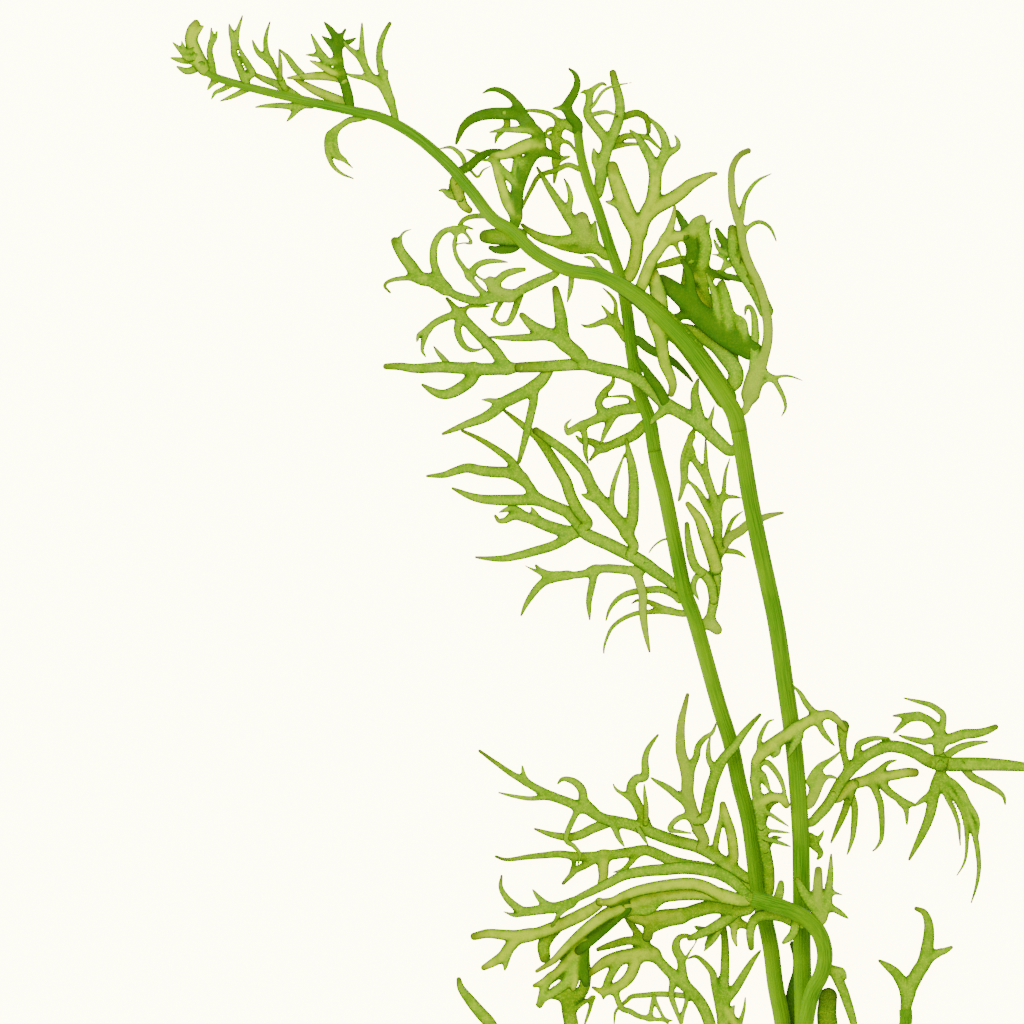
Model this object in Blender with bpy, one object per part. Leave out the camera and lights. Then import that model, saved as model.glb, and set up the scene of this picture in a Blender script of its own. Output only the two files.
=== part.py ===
"""Water sprite, an aquarium fern, lying flat as picked: forked leaves on long curved stalks.

The plant is drawn on a board in millimetres, x to the right and y along the plant, and heights are
above the surface that it rests on. Each stroke of the drawing is one lobe: the height of its tip, its
width, and points chosen along it. Strokes fuse into leaves, and leaves stand a hair clear of stems.
"""

import math

import bmesh
import bpy
import numpy as np
from mathutils import Vector

PLANT_LENGTH = 0.291           # m, the real length from the root tips to the highest leaf tip
BOARD_LENGTH = 291.0           # mm, the same on the board
SCALE = PLANT_LENGTH / BOARD_LENGTH
LEAF_THICKNESS = 0.8           # mm, a lobe at its midrib
GAP = 0.35                     # mm between pieces that touch
FLAT_ANGLE = 1.0               # degrees between faces that are joined as one
STEM_SIDES = 7
THREAD_WIDTH = 1.75            # mm, a lobe narrower than this
THREAD_LENGTH = 10.0           # and shorter than this is left out
CURVE_STEP = 0.5               # mm between the points that a smooth path is read at
PATH_TOLERANCE = 0.9           # mm that a faceted path may stray from the smooth one
FULLNESS = 1.35                # whole width of a lobe, clear margin and all, to its drawn width
TIP_SHARE = 0.25               # width of a pointed tip as a share of the lobe's width
FOOT_SHARE = 0.55              # width of a leaf's foot as a share of the leaf's width
ROOTSTOCK_CENTRE = (201.0, -20.0, 6.5)
ROOTSTOCK_RADII = (8.0, 7.0, 6.5)
ROOTSTOCK_REACH = 7.0          # mm from its middle to where leaves start
LEAF_COLOUR = (0.20, 0.42, 0.05, 1)
STEM_COLOUR = (0.22, 0.50, 0.10, 1)
ROOTSTOCK_COLOUR = (0.16, 0.15, 0.05, 1)
ROOT_COLOUR = (0.30, 0.20, 0.09, 1)

NODES = {}                     # name: the strokes of one piece, in the order in which they grow


def numbers(text):
    """The points of one stroke, from 'x,y x,y' or 'x,y,z x,y,z'."""
    return [np.array([float(n) for n in point.split(",")]) for point in text.split()]


def smooth_path(points):
    """A Catmull-Rom curve through the points, read every CURVE_STEP."""
    points = np.array(points)
    if len(points) == 2:
        points = np.array([points[0], points.mean(axis=0), points[1]])
    ends = np.vstack([2 * points[0] - points[1], points, 2 * points[-1] - points[-2]])
    curve = []
    for before, start, end, after in zip(ends, ends[1:], ends[2:], ends[3:]):
        steps = max(2, int(np.linalg.norm(end - start) / CURVE_STEP))
        for t in np.arange(steps) / steps:
            curve.append(0.5 * (2 * start + (end - before) * t
                                + (2 * before - 5 * start + 4 * end - after) * t ** 2
                                + (3 * start - before - 3 * end + after) * t ** 3))
    curve.append(points[-1])
    return np.array(curve)


def shares(curve):
    """How far along its curve each point lies, from 0 to 1."""
    lengths = np.linalg.norm(np.diff(curve[:, :2], axis=0), axis=1)
    run = np.concatenate([[0], np.cumsum(lengths)])
    return run / run[-1]


def nearest_on(name, place):
    """The nearest point of a piece's strokes to a place on the board, and the half width there."""
    best = None
    for stroke in NODES[name]:
        reach = np.linalg.norm(stroke["curve"][:, :2] - place, axis=1) - stroke["half"]
        at = int(np.argmin(reach))
        if best is None or reach[at] < best[0]:
            best = (reach[at], stroke["curve"][at], stroke["half"][at])
    return best[1], best[2]


def half_widths(along, width, tip_share, foot_share=1.0):
    """Half the lobe's width along it: full from the foot, and drawn in towards the tip."""
    to_tip = along ** 2.2
    foot = foot_share + (1 - foot_share) * np.clip(along / 0.15, 0, 1)
    return FULLNESS * width / 2 * foot * (1 - to_tip + tip_share * to_tip)


def add_lobe(name, tip_height, width, text, tip_share=TIP_SHARE):
    """One lobe that grows out of the nearest stroke of its own piece."""
    points = numbers(text)
    root, _ = nearest_on(name, points[0])
    if np.linalg.norm(root[:2] - points[0]) > 0.6:
        points = [root[:2]] + points
    else:
        points[0] = root[:2]
    curve = smooth_path(points)
    along = shares(curve)
    heights = root[2] + (tip_height - root[2]) * (1 - (1 - along) ** 2)
    NODES[name].append({"curve": np.column_stack([curve, heights]), "round": False,
                        "half": half_widths(along, width, tip_share)})


def clear_start(carrier, curve, half):
    """How many points of a leaf's curve to leave out so that its foot stands clear of its carrier."""
    for first in range(len(curve) - 3):
        way = curve[first + 1] - curve[first]
        side = np.array([-way[1], way[0]]) / np.linalg.norm(way) * half[first]
        corners = [curve[first] + side, curve[first] - side, curve[first]]
        reaches = []
        for corner in corners:
            point, reach = nearest_on(carrier, corner)
            reaches.append(np.linalg.norm(corner - point[:2]) - reach)
        if min(reaches) > GAP:
            return first
    return 0


def leaf(name, carrier, first_lobe, *lobes_after):
    """A leaf whose first lobe starts beside its carrier, at its height, with its other lobes on it."""
    tip_height, width, text = first_lobe[:3]
    tip_share = first_lobe[3] if len(first_lobe) > 3 else TIP_SHARE
    curve = smooth_path(numbers(text))
    half = half_widths(shares(curve), width, tip_share, FOOT_SHARE)
    first = clear_start(carrier, curve, half)
    curve = curve[first:]
    along = shares(curve)
    foot_height = nearest_on(carrier, curve[0])[0][2]
    heights = foot_height + (tip_height - foot_height) * (1 - (1 - along) ** 2)
    NODES[name] = [{"curve": np.column_stack([curve, heights]), "round": False,
                    "half": half_widths(along, width, tip_share, FOOT_SHARE)}]
    lobes(name, *lobes_after)


def lobes(name, *strokes):
    """More lobes on a piece that is already there."""
    for stroke in strokes:
        add_lobe(name, *stroke)


def stem(name, carrier, foot_width, end_width, text, *side_lobes):
    """A round stem along points with heights, tapered evenly from foot to end, and small lobes on it."""
    curve = smooth_path(numbers(text))
    half = (foot_width + (end_width - foot_width) * shares(curve)) / 2
    NODES[name] = [{"curve": curve, "half": half, "round": True}]
    lobes(name, *side_lobes)


def lay_stems():
    """The stalks and the ribs that carry the leaves, from the rootstock outwards: x, y, height."""
    stem("frond_1_stalk", "rootstock", 4.6, 4.3,
         "199.4,-12,7.6 200.2,-6,8.4 200.8,0,9 200.4,20,9.6 200.2,40,10.4 199.9,50,11 198.5,68,12.4 "
         "196,86,14.2 193.9,100,16 191.8,110,17.6 189.6,120,19.4 187.2,132,22 185.2,144,24.6 184.3,149,25.4")
    stem("frond_1_rachis", "frond_1_stalk", 4.5, 2,
         "184.2,149.4,25.4 183.5,152,25.9 182,155,26.2 177,162.5,26.8 171.5,169.8,27 165,176.5,27 "
         "158,182.5,27 150,186.8,26 142,188.3,24.6 134,192.4,22.8 128,198,21.4 123,201.3,20 118,207.8,17.2 "
         "112,214.8,14.6 104,221.7,12.4 96,226.2,10.4 88,228.2,8.8 80,229.9,7.6 70,232.2,6.2 "
         "62,234.2,5 54,236.6,3.9 51.6,238.2,3.5",
         (26, 4.2, "181.4,156.6 176.4,163.4 170.8,170.8 164.6,177 158,182.4 151,186.6", .6),
         (5, 1.1, "122.6,201.6 119.5,201.8 117.5,201.6 115.8,200.8 114.8,199.3 114.2,197.5 114.2,195.5"),
         (3, 1.2, "64,233.7 62,233.6 58.5,232 55.2,230.7"),
         (2.4, 1.1, "59,235 58,234.8 55.5,233.5 53.9,232.8 52.9,231.2"),
         (2, 1.1, "55,236.3 53,235 51.9,233.5"),
         (5.5, 1.4, "53.6,236.8 53,240 52.5,243 53,246 52.9,248.8"),
         (5.5, .6, "53,245 54,246.2 54.4,248.5"),
         (3.2, 1.8, "75,231 70,234.5 66,236.2 62.5,238"),
         (23.8, 1.4, "151,186.5 149.5,189 148,191 146,191.5"),
         (23, 1.2, "142.9,188.2 142.8,186.5 142.6,184 142.2,182 141.8,180.3"))
    stem("frond_2_stalk", "rootstock", 4.3, 3.8,
         "194.4,-13,5.2 195.2,-6,5.6 195.6,0,6 193.8,10,6 192.5,20,6 189.5,34,6 187.3,50,6 184.8,60,6.3 "
         "182.7,70,6.6 179.6,80,7 176.8,90,7.4 173.4,102,8 171.2,108,8.3 168.7,120,9 "
         "166.3,132,10 164.3,140,10.8 163.5,144,11.1",
         (8.4, .5, "168.4,121.3 166.9,121.3 165.3,120.9 163.5,119.6 162.3,118 161.8,116.4"))
    stem("frond_2_rachis", "frond_2_stalk", 3.7, 2.4,
         "163.4,144.4,11.1 162.3,151,11.6 159.8,158,12 157.9,168,12 156.7,178,12 155,186.5,11.8 "
         "152.3,194.5,11 149.5,203.5,10 147,210,9.2 145.2,217,8.6 144.4,223,8.1")
    stem("frond_3_stalk", "rootstock", 4, 4.2,
         "203.4,-13,11.6 202.2,-6,14 201.3,0,15 202.8,8,15.6 205.2,13,16 206,18,16.4 "
         "204.6,23,17 201.5,26.6,17.6 196,29.3,18 190,31.2,18 187.4,31.8,18")
    stem("frond_5_stalk", "rootstock", 3, 3.4,
         "209.4,-17,4 215,-12.5,3 221,-7,2.4 226,-1,2.2 226.4,4,2.2")
    stem("low_frond_stalk", "rootstock", 2.8, 2,
         "191.5,-20,4 181,-17,2.6 170,-15.5,2.2 158,-13.4,2.2 146,-11,2.2 134,-7,2.2 124.6,-2.4,2")


def frond_1_end_leaves():
    """The thin forked leaves at the far end of the first frond."""
    leaf("end_leaf", "frond_1_rachis",
         (.6, 2.8, "51,238.6 50,240.5 48.8,243 47.8,246 48,248.5 49,250.2", .5),
         (.6, 1.4, "48.2,246.5 49.6,248.4 50.8,249.4"),
         (.6, 1.6, "50.4,239.4 47,238.2 44.3,239.3"),
         (.6, 1.5, "50,240.4 48,240.8 45.5,240.9 42.8,241.5"),
         (2.6, 1.2, "49.3,241.9 47,241.4 45.5,243 43.3,245.3"),
         (3.4, 1, "48.6,243.5 46.8,243 46,244 45.5,245.6"))
    leaf("crest_leaf", "frond_1_rachis",
         (12.5, 1.6, "99,225.8 98,229.5 97.2,232 96.8,234 96,236.5 95.2,239 94.9,242 95.2,244.5 "
          "96,247 97.5,249.8", .5),
         (12.8, .7, "95.9,236.8 96.5,237.3 97.1,238.1"),
         (14.5, 1.6, "97.6,231 96.3,233 95,234.7 93,236.4 92,238 91,240 90.6,243 90.6,249.8"),
         (13.6, 1.2, "94,235.5 91,236.3 88,236.8 86.5,237.5"),
         (13.4, 1.2, "91,240.5 89,242.3 87,244 86,245.5"))
    leaf("dark_end_leaf", "frond_1_rachis",
         (9.4, 2, "87.6,229.4 86.5,234 85.2,238 84.6,242 84.5,245 86.4,248.4"),
         (9.4, 1.3, "84.6,244 87,245.2 89,246.2"),
         (9, 1.4, "84.4,242.6 82.8,244.8 80.7,246.7"),
         (9.4, 1.4, "84.6,245.5 83,248 81.2,250.2"),
         (8.6, 1.4, "84.7,240.4 82,240.6 80,243 77.9,247.2"),
         (8.6, .8, "81,241.6 79.5,242 76.4,242.1"),
         (8.8, 1.4, "85.4,237.4 83,237.8 80,239.5 77.7,240.6"),
         (5.2, 1.8, "85.8,235.8 84,236.5 80,236.9 76,236.7 72,236.4"),
         (4.6, 1.4, "76,236.8 73.8,239 72,241.5 70,243.5"))
    lobes("frond_1_rachis",
         (3.2, 2, "86.3,230 82,231.9 78.5,233.5 75,235.5 73,236.6"))
    leaf("upright_end_leaf", "frond_1_rachis",
         (11, 1.4, "72,232.6 71,234.5 70,236.5 68.5,239 67,242 66.5,245 66.8,247.5 67.6,250.2"),
         (11, 1.1, "67.6,240.6 65.2,242 63.9,244 63.2,245.9"),
         (12, 1, "70.2,236.4 70.2,240 69.9,243.5"))
    leaf("outer_upright_end_leaf", "frond_1_rachis",
         (8, 1.4, "61.9,235 60.3,238 59.5,240 58.5,243 59.3,246.5 59.5,248 60.7,251.8"),
         (7, 1.4, "61,236.6 63.2,237.4 62.5,239 60.8,242 60,244"),
         (7, 1.2, "58.7,244.6 58,247 57.4,249.8"))
    leaf("hooked_end_leaf", "frond_1_rachis",
         (5, 1.3, "91.6,226.6 90,226.2 87.5,225.8 85.5,224.6 84,223.4 82.5,222.2 81.8,220.5 82,217.5 "
          "83.3,214.5 85.5,212.5 88.3,211.3"),
         (7.4, 1, "84,223.4 83.9,221 84.3,218.5 85.3,216.7 88.2,213.9"),
         (6, 1, "82.6,222 83,218.6 84.3,216.5 86.3,216"))
    lobes("frond_1_rachis",
         (5, 1.4, "78,229.6 76,229.6 74,229.2 70,229.5 66,229.4 64,229.1"),
         (5, 1.1, "75,229.4 73.5,227.5 71.8,225.6"))


def frond_1_bend_leaves():
    """The leaves where the first frond bends over to the left."""
    leaf("bend_right_leaf", "frond_1_rachis",
         (10.5, 1.8, "114.9,212.9 117.3,214.2 119.5,216.2 122,217.6 125,218.1 126.5,217.9"),
         (9, 1, "116.4,213.9 115.6,216.6 113,218.9 110,218.7"),
         (9.6, .9, "120.5,217 118.2,218 116.5,218.5"),
         (9, .6, "117,214 119.3,211.6 120.8,213.3 123,214.5"))
    leaf("bend_left_leaf", "frond_1_rachis",
         (11, 2.3, "113.9,210.4 114.4,208.4 115.2,206 116,204.4 117.3,203.3", .6),
         (10, 1.4, "115,206.3 112.5,207 111,208.2 109.8,208.2"),
         (10, .9, "113.9,210 112.7,209.5 113.3,207.5"))
    lobes("frond_1_rachis",
         (20.5, 3.4, "129.6,196.4 127,196.6 124,196.6 121.5,196.6", .75),
         (19.6, 2.2, "129.6,195.4 128,193.9 124.5,193.3 122.6,193.8", .4))
    leaf("dark_crossing_leaf", "frond_1_rachis",
         (18, 2.4, "128.8,200 129.1,204 129.4,208 130.5,211.5 132,215 134,218 135,220.5 134.8,222 "
          "133,223.9 131.5,225.5 130.5,227.5 129.5,229", .6),
         (17, 1.4, "129.9,228.2 128.8,230.2 127,232 124.5,233.2 122.5,233.2 120.8,232.4"),
         (14.8, 2.4, "132,225.2 129.5,227 126,227.3 122,227.2 118.5,226.2 116,224.2 "
          "114.8,221.8 114.1,219.9"),
         (13.6, 1.4, "126.5,227 126.8,224.5 125.5,223 124.3,221.6 123.8,220"),
         (18.4, 1.4, "134,222.8 130,223.2 126,223.2 122.5,222.6"),
         (19.4, 2.6, "134,219.5 132,219.4 129,218.2 126,217 123.2,216.8", .4),
         (17.6, 1.2, "132.2,215 131,215.3 129.8,215.4"),
         (18.6, 1.4, "131.2,213.4 129.5,215.6 128.6,213.5 129,211"),
         (18.4, 1.4, "129.6,208.8 127,211.8 125,214 123.2,215.6 120.5,215.6"),
         (18.6, 2, "128.9,201.6 126.8,205 125.5,209 124.5,212 123.6,215", .6),
         (17, 1.8, "134,217.6 136,217.6 138,217.2 140,216"))


def frond_1_right_leaves():
    """The dense leaf on the right of the first frond's bend and what grows from it."""
    leaf("right_leaf", "frond_1_rachis",
         (22, 1.9, "186,153.4 187.5,158 189,162.5 190.5,166 191.5,170 191.7,174 191.2,178 190.3,182 "
          "189,185.5 187.5,188.5 186.3,191.5 185.5,194.5 185,198 184.5,200 183.5,203 182.8,206 "
          "182.6,210 182.7,213 183.7,215.6 185.2,217.2 186.8,217.9", .6),
         (24, 3.6, "187.2,157.5 188,160 189,163.5 190,166", .5),
         (21, 1, "185.2,201.4 185.8,205.5 187.2,208.3 189.3,210.6 192.5,212.2"),
         (21, .9, "185.2,197 187,199 188.8,200.1 190.5,200 192.2,198.8 193.2,197 193.9,195"),
         (22.6, 1.7, "188.8,163.5 188.2,165 188.3,169 188.5,173 188.2,177 187.3,179 186.3,178.9 186,177.2"),
         (20.5, 2.8, "191,178 189.3,182 187,185.7 184.8,189 183.3,192.5 182.9,196 182.8,198.5", .6),
         (19.6, 1.4, "187,185.6 183.5,186.3 181,187 179,188"),
         (19.4, 1.8, "183.6,192 182,194 180.3,196 179,198.3", .5),
         (19.4, 1, "183.4,191.8 181,192.5 179.3,193.7 178.2,195.8"),
         (19.8, .8, "184,190 181,189.2 181,190.8 179.5,191.8 177.8,192.2"),
         (26, .7, "188.4,159 189.3,159.7 191.5,160.7 194,161.6 197,161.8 200.5,160.6"),
         (20, .7, "183.6,191 181.4,189.4 180.3,188.3 179.3,187.8"),
         (26, 1.1, "189.6,163.4 192.5,161.5 194.3,159 195.7,156 196,153.8 195.1,151.9"))
    leaf("dark_diagonal_leaf", "right_leaf",
         (22.4, 4.5, "187.2,168.2 185,169.8 181,172.2 177.5,174.8 174,177.8 171,181 168,183.5 "
          "165.3,185.4", .6),
         (22.4, 2, "174,178.4 172.6,183 172,187.4 170.4,190.6", .4),
         (22.6, 1.8, "179.5,174.2 179,179 178.2,183 176.4,187.4"),
         (21.6, 1, "186.2,169.4 186,175 184,176.8 182.5,177.5"),
         (21.4, 2.5, "181.4,173 181.8,176.5 181.2,180.5 180.2,184.8", .6),
         (21.6, 2, "185.6,170.4 185.2,173 184.2,175.6", .7),
         (21, 1.7, "172.8,178 169.6,176.6 166.6,176 164.6,175.2", .6))
    leaf("strip_leaf", "frond_1_rachis",
         (20, 3, "182.4,159.4 183.6,161 183.4,163.5 181,166.8 179,169.2 176.5,171 173,172.9 169.5,173.8 "
          "166,174.2", .6),
         (21.2, 2, "183.6,161.4 183.4,165 182.8,168 182.2,171.2", .7))
    leaf("yellow_fork_leaf", "frond_1_rachis",
         (22, 2.4, "160.2,184.2 162.5,190 164.3,192.8 166,195.3 167.3,198.5 168.2,201.5 168.5,204", .25),
         (21, 2.2, "166.3,195.4 169,196.6 171.5,197 174,198.5", .6),
         (19.6, 1.8, "171,197 171,199 170,201 169.2,203", .3),
         (20.4, 2.4, "172.6,197.4 174,199.5 175.2,201", .7),
         (20, .9, "168,196.2 168.8,194.5 169.5,193 170.2,191.5"),
         (20, .8, "173,198 176.4,198.3 177.2,200 178,200.8"),
         (17.8, 2.3, "172,197.4 172.8,193 172.2,189 171.6,185 171.2,181 171,177", .6),
         (18.2, 2.5, "174.6,199 176.2,195 175.8,191 175.2,187 176,183 177.4,179.5", .5),
         (17.8, 1.7, "172.4,191 170,190.8 167,190 164,189.2", .6),
         (17.4, 1.8, "172.4,188.4 176,188 179,187.2 182,186.2", .6),
         (17.6, 1.8, "171.8,186.6 175,186.4 177.4,185.8", .7),
         (17.4, 2, "171.6,184.4 173.6,182.6 175.2,180.6 176.8,178.4", .7))


def frond_2_top_leaves():
    """The leaves at the upper end of the second frond, which lies under the first."""
    lobes("frond_2_rachis",
         (11, 1.1, "145,213.5 142,214.6 139,213.3 136,212.4 134.3,211.3 133,209 131.3,205.7 130,202.8", .5))
    leaf("top_left_leaf", "frond_2_rachis",
         (3.6, 2.1, "141.4,224.9 139.8,224 139,221.5 139,218 138.9,215 138.8,212.5 138.5,210.3"),
         (9, 1, "139.9,224.4 138.6,226.6 136,227.8 132,228.2 129,227.5"),
         (3, 1.1, "139.6,223.6 137.4,223.6 136.2,222.5"),
         (5.4, .9, "139.4,220.8 142,220.3 143.5,218.6 144,217.5"),
         (5, .9, "135.5,222 137.5,221.7 139.6,220.4"),
         (5, 1, "139,215.6 141,216.4 142.6,216.8"))
    lobes("frond_2_rachis",
         (8.6, 2, "144.3,224.8 142.5,227 141.8,229.4 143.5,232.5 144.3,235 143.8,237.2 142.3,238.6", .25),
         (7.6, 1, "142,229 140,228.9 138,228.7"))
    leaf("top_right_leaf", "frond_2_rachis",
         (4.6, 2.3, "149.4,207.4 150,210.4 150.6,214 151.2,217 152.2,220 153.6,223 154.6,226 155,229 "
          "154.6,232 153.8,235 153.2,237.6", .6),
         (6.4, 1.9, "151.9,220 149.5,223.5 147.5,226 146.8,228 147.2,230 147.5,232.5 148.8,234 "
          "150.5,235 151.4,234.6"),
         (6.4, .8, "147.4,232.4 146.2,233 145,232.6"),
         (7.4, .7, "147.2,228.6 148.3,229.5 150.6,232.9 153.3,234.3 157.8,235.2"),
         (.55, 1.5, "154.6,226.4 158.5,227.6 160.5,227.3 161.8,226 162.2,223.2", .6),
         (.6, 1.3, "152,219 155,221.3 157,222 160,221.9 162.3,221.3 164,219.8 165.6,218.2"),
         (6.6, 1, "147,227 150,227.7 152,227.8 154.4,226.8"),
         (1.6, .9, "151.9,218.4 155.3,219.5 157.5,219.9 160,219.8 162.2,219"),
         (6, 1.7, "150.4,213.2 148.9,215.4 148.4,218.6", .3))
    leaf("yellow_forked_leaf", "frond_2_rachis",
         (13.6, 2.6, "157,186.8 158.3,189.4 158.9,192 159.3,196 159.6,200", .9),
         (13, 3.3, "159,198 157.5,201 156,204.5 154.8,208 153.6,211.5 153,214", .7),
         (12, 1.4, "155.6,204.6 153.6,205 151.4,205.4"),
         (12.4, 2.8, "159.5,198 161,201 162.3,203.5 163.3,207 163.7,211 163.8,214", .8),
         (10.4, 2, "163.8,213 162.3,216.5 160.8,219.2 159.3,221.5 157.5,223.2"),
         (9, 1.9, "163.9,213 165.4,215.5 166.3,219 165.8,221.8 164.5,224 162,226.5"),
         (9.6, 1.3, "165.6,216.6 168.5,218.3 169.5,219.3 169.3,220.8 168.6,222"),
         (11, 2.8, "162,202.8 165,204.6 168,206.2 170.5,208 172.5,209.7 175,211 177,212 178.9,212.4"))
    leaf("knotted_leaf", "frond_2_rachis",
         (14, 2.2, "151.6,191.9 149.6,193.4 147.6,194.8 146,196 144,198.6 141.5,202.5 139.5,205.5 "
          "137.5,208.5 135.8,211.3 134.3,213.8"),
         (13.6, 1.2, "141.9,202 142.6,206 142,209 141,211.1"),
         (13.8, 2.3, "145.6,196.4 142.6,195.8 139,195.5 135,196.5 132,198.3 130.6,199.6", .3),
         (13, 3.2, "146.4,196 145.7,198 145.5,200 145.4,201.2", .8),
         (12.6, 1.6, "148.6,194.4 148.5,198 148.7,200.5"),
         (12.8, 1.5, "148.4,194 146,193.2 143,193.5 140,194 138.5,195"))


def frond_1_left_leaves():
    """The long side branch that runs left across the second frond, and its leaves."""
    leaf("left_branch", "frond_1_stalk",
         (17, 2.6, "182.2,143.3 180.5,144.5 178,146.8 176,148.8 173,151 170,152.8 167.5,154.2 165.5,155.6 "
          "163,158 160,160.5 157,162 154,163 150,163.8 146,164.8 140,164.5 135,164.2 130,164", .8),
         (20.6, 2, "166.5,155 164.6,158.6 162.4,161.6 160.5,164.5 158.9,167"),
         (21, 1.8, "167,154.4 165.5,153 163.5,151.3 162.5,150"),
         (20.4, 2.2, "175,149.6 174,154 173.5,157.5 174.3,161"),
         (23, 1, "176.4,148.5 177.4,151 178.3,154.4"))
    leaf("left_branch_end_leaf", "left_branch",
         (13, 2.4, "129.4,164 125,163.7 120,163.6 115,163.9 110,164.1 104,163.8 100,164.3 96.6,164.3", .5),
         (14.6, 2.3, "126.6,164 123.5,168.5 121,171 118,174 115.5,177 114,178.6 111.8,181.2", .3),
         (14.6, 1.5, "114.8,177.6 110,175.8 107.5,174 106.3,171.5 105.6,168.5 106.4,166.8"),
         (13.8, .9, "107,173.4 104.8,172.3 104.2,170.3"),
         (14, .9, "115,178 117.5,179.3 120,179.3 123,179.3"),
         (14.4, 1.5, "114.9,177 114.4,173.6 115.3,170.5 116.8,168.8 118.5,168.3 120.3,168.6"),
         (11, 1.2, "113,164 109.8,167.5 108.5,169.3"),
         (12.6, 2.4, "118.4,163.6 118,161.3 116,159.5 113.5,158 111,157.3 108.5,158 105.7,159.7"))
    leaf("left_branch_upper_leaf", "left_branch",
         (19, 2.8, "145.6,165.9 143.5,168 141,170.2 140.4,173 140.2,176 139.5,180 138.8,183.5", .5),
         (17.6, 2.4, "141.2,170.4 139,171.5 136,172.8 133,174.5 130.5,177", .5),
         (16.6, 1.6, "137.6,172 134,171.6 130,171.4 126,171.4 122.5,171.6"))
    leaf("left_branch_lower_leaf", "left_branch",
         (13.4, 2.5, "137,163.2 135,160.5 132,158.3 129,156.8 125.5,155 124,153.5 121,151.5 117,150 "
          "114,148.8 110.8,147.5"),
         (13.4, 1.1, "125.4,155 123,155.8 120.5,156"),
         (15, 1.7, "133.4,159.2 133.4,156 132.8,153 132,149.5 131.2,146 130.4,143 129.7,140.5", .5))
    lobes("frond_1_rachis",
         (22.8, 3.2, "164.8,177 164.6,181 163.8,184.6 163.2,187.6", .6),
         (24.6, 2.6, "163.2,175.8 164.6,172 165.3,169 166,165 167.3,162 168,159.5 167.6,157.4", .5))
    lobes("frond_2_rachis",
         (15.4, 1.8, "159.4,170.8 162,168.8 164.5,167.5 166.5,166.5 169,164.8 171.5,162.3 173,160.5"))
    lobes("frond_2_rachis",
         (13.6, 1.6, "156.2,171.4 155,173.2 153.5,175 151,175.5 148.5,174.6 146.5,174.3 145.4,174.7"),
         (13, 1, "153.9,174.4 151.6,178 150.3,179.6"),
         (14.4, .9, "154.6,173.6 153.9,178 153.8,180 152.8,181.8 150.3,184.2"))
    leaf("low_left_leaf", "frond_1_rachis",
         (17, 1.9, "138.6,187.2 134.5,185.3 131,183.6 128,181.9 123.5,181.3 120,180.6 117,181 114,182 "
          "112,183.2 110,184.5 107.5,185.8 105,186.3 102,186.3 99,186 97,185.3 96.3,184.2 97.6,182.7"),
         (18, 2.6, "111,183.8 108,185.6 105,186.4 102.8,189.3 101,191.7 99.5,194 98.8,195.5", .6),
         (18.4, 1.6, "111.2,183.6 108.8,189 108.4,192 108.7,194.5 109.8,196.7 111.3,198 113,198.5 "
          "115,198.6 116.5,199 118.2,198.5"),
         (19.6, 2.4, "127.4,181.6 125,182.6 123.3,184 122.5,186", .5),
         (20.4, 1.6, "123.2,184.4 126,187 128.6,188 131,188.4", .5),
         (18.6, 1.1, "122.6,181.2 120,183.4 117.8,186 116,188.8 114.5,191 113.8,193 113.6,195.5 115.5,199.4"),
         (19.8, 1.3, "117.3,186.8 119.2,189.3 121.5,190.3 124,190.5 126.8,190.2"),
         (16, 1.4, "130.4,183.2 127.8,176.2 125.8,174.8 124.2,175.2 122.8,176"),
         (16.4, 1.1, "126,181.6 123.7,177.5 123.8,175.8"),
         (18, .7, "113.6,197.6 115.5,198 116.8,197 117.9,195 116,195 114.3,194.7"),
         (19, .6, "123.2,184.8 120.5,186 118.8,187.3"),
         (18, .7, "100.2,192.9 100.2,195 100.4,196.8 101.4,197.9 102.9,198.4"))


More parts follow.
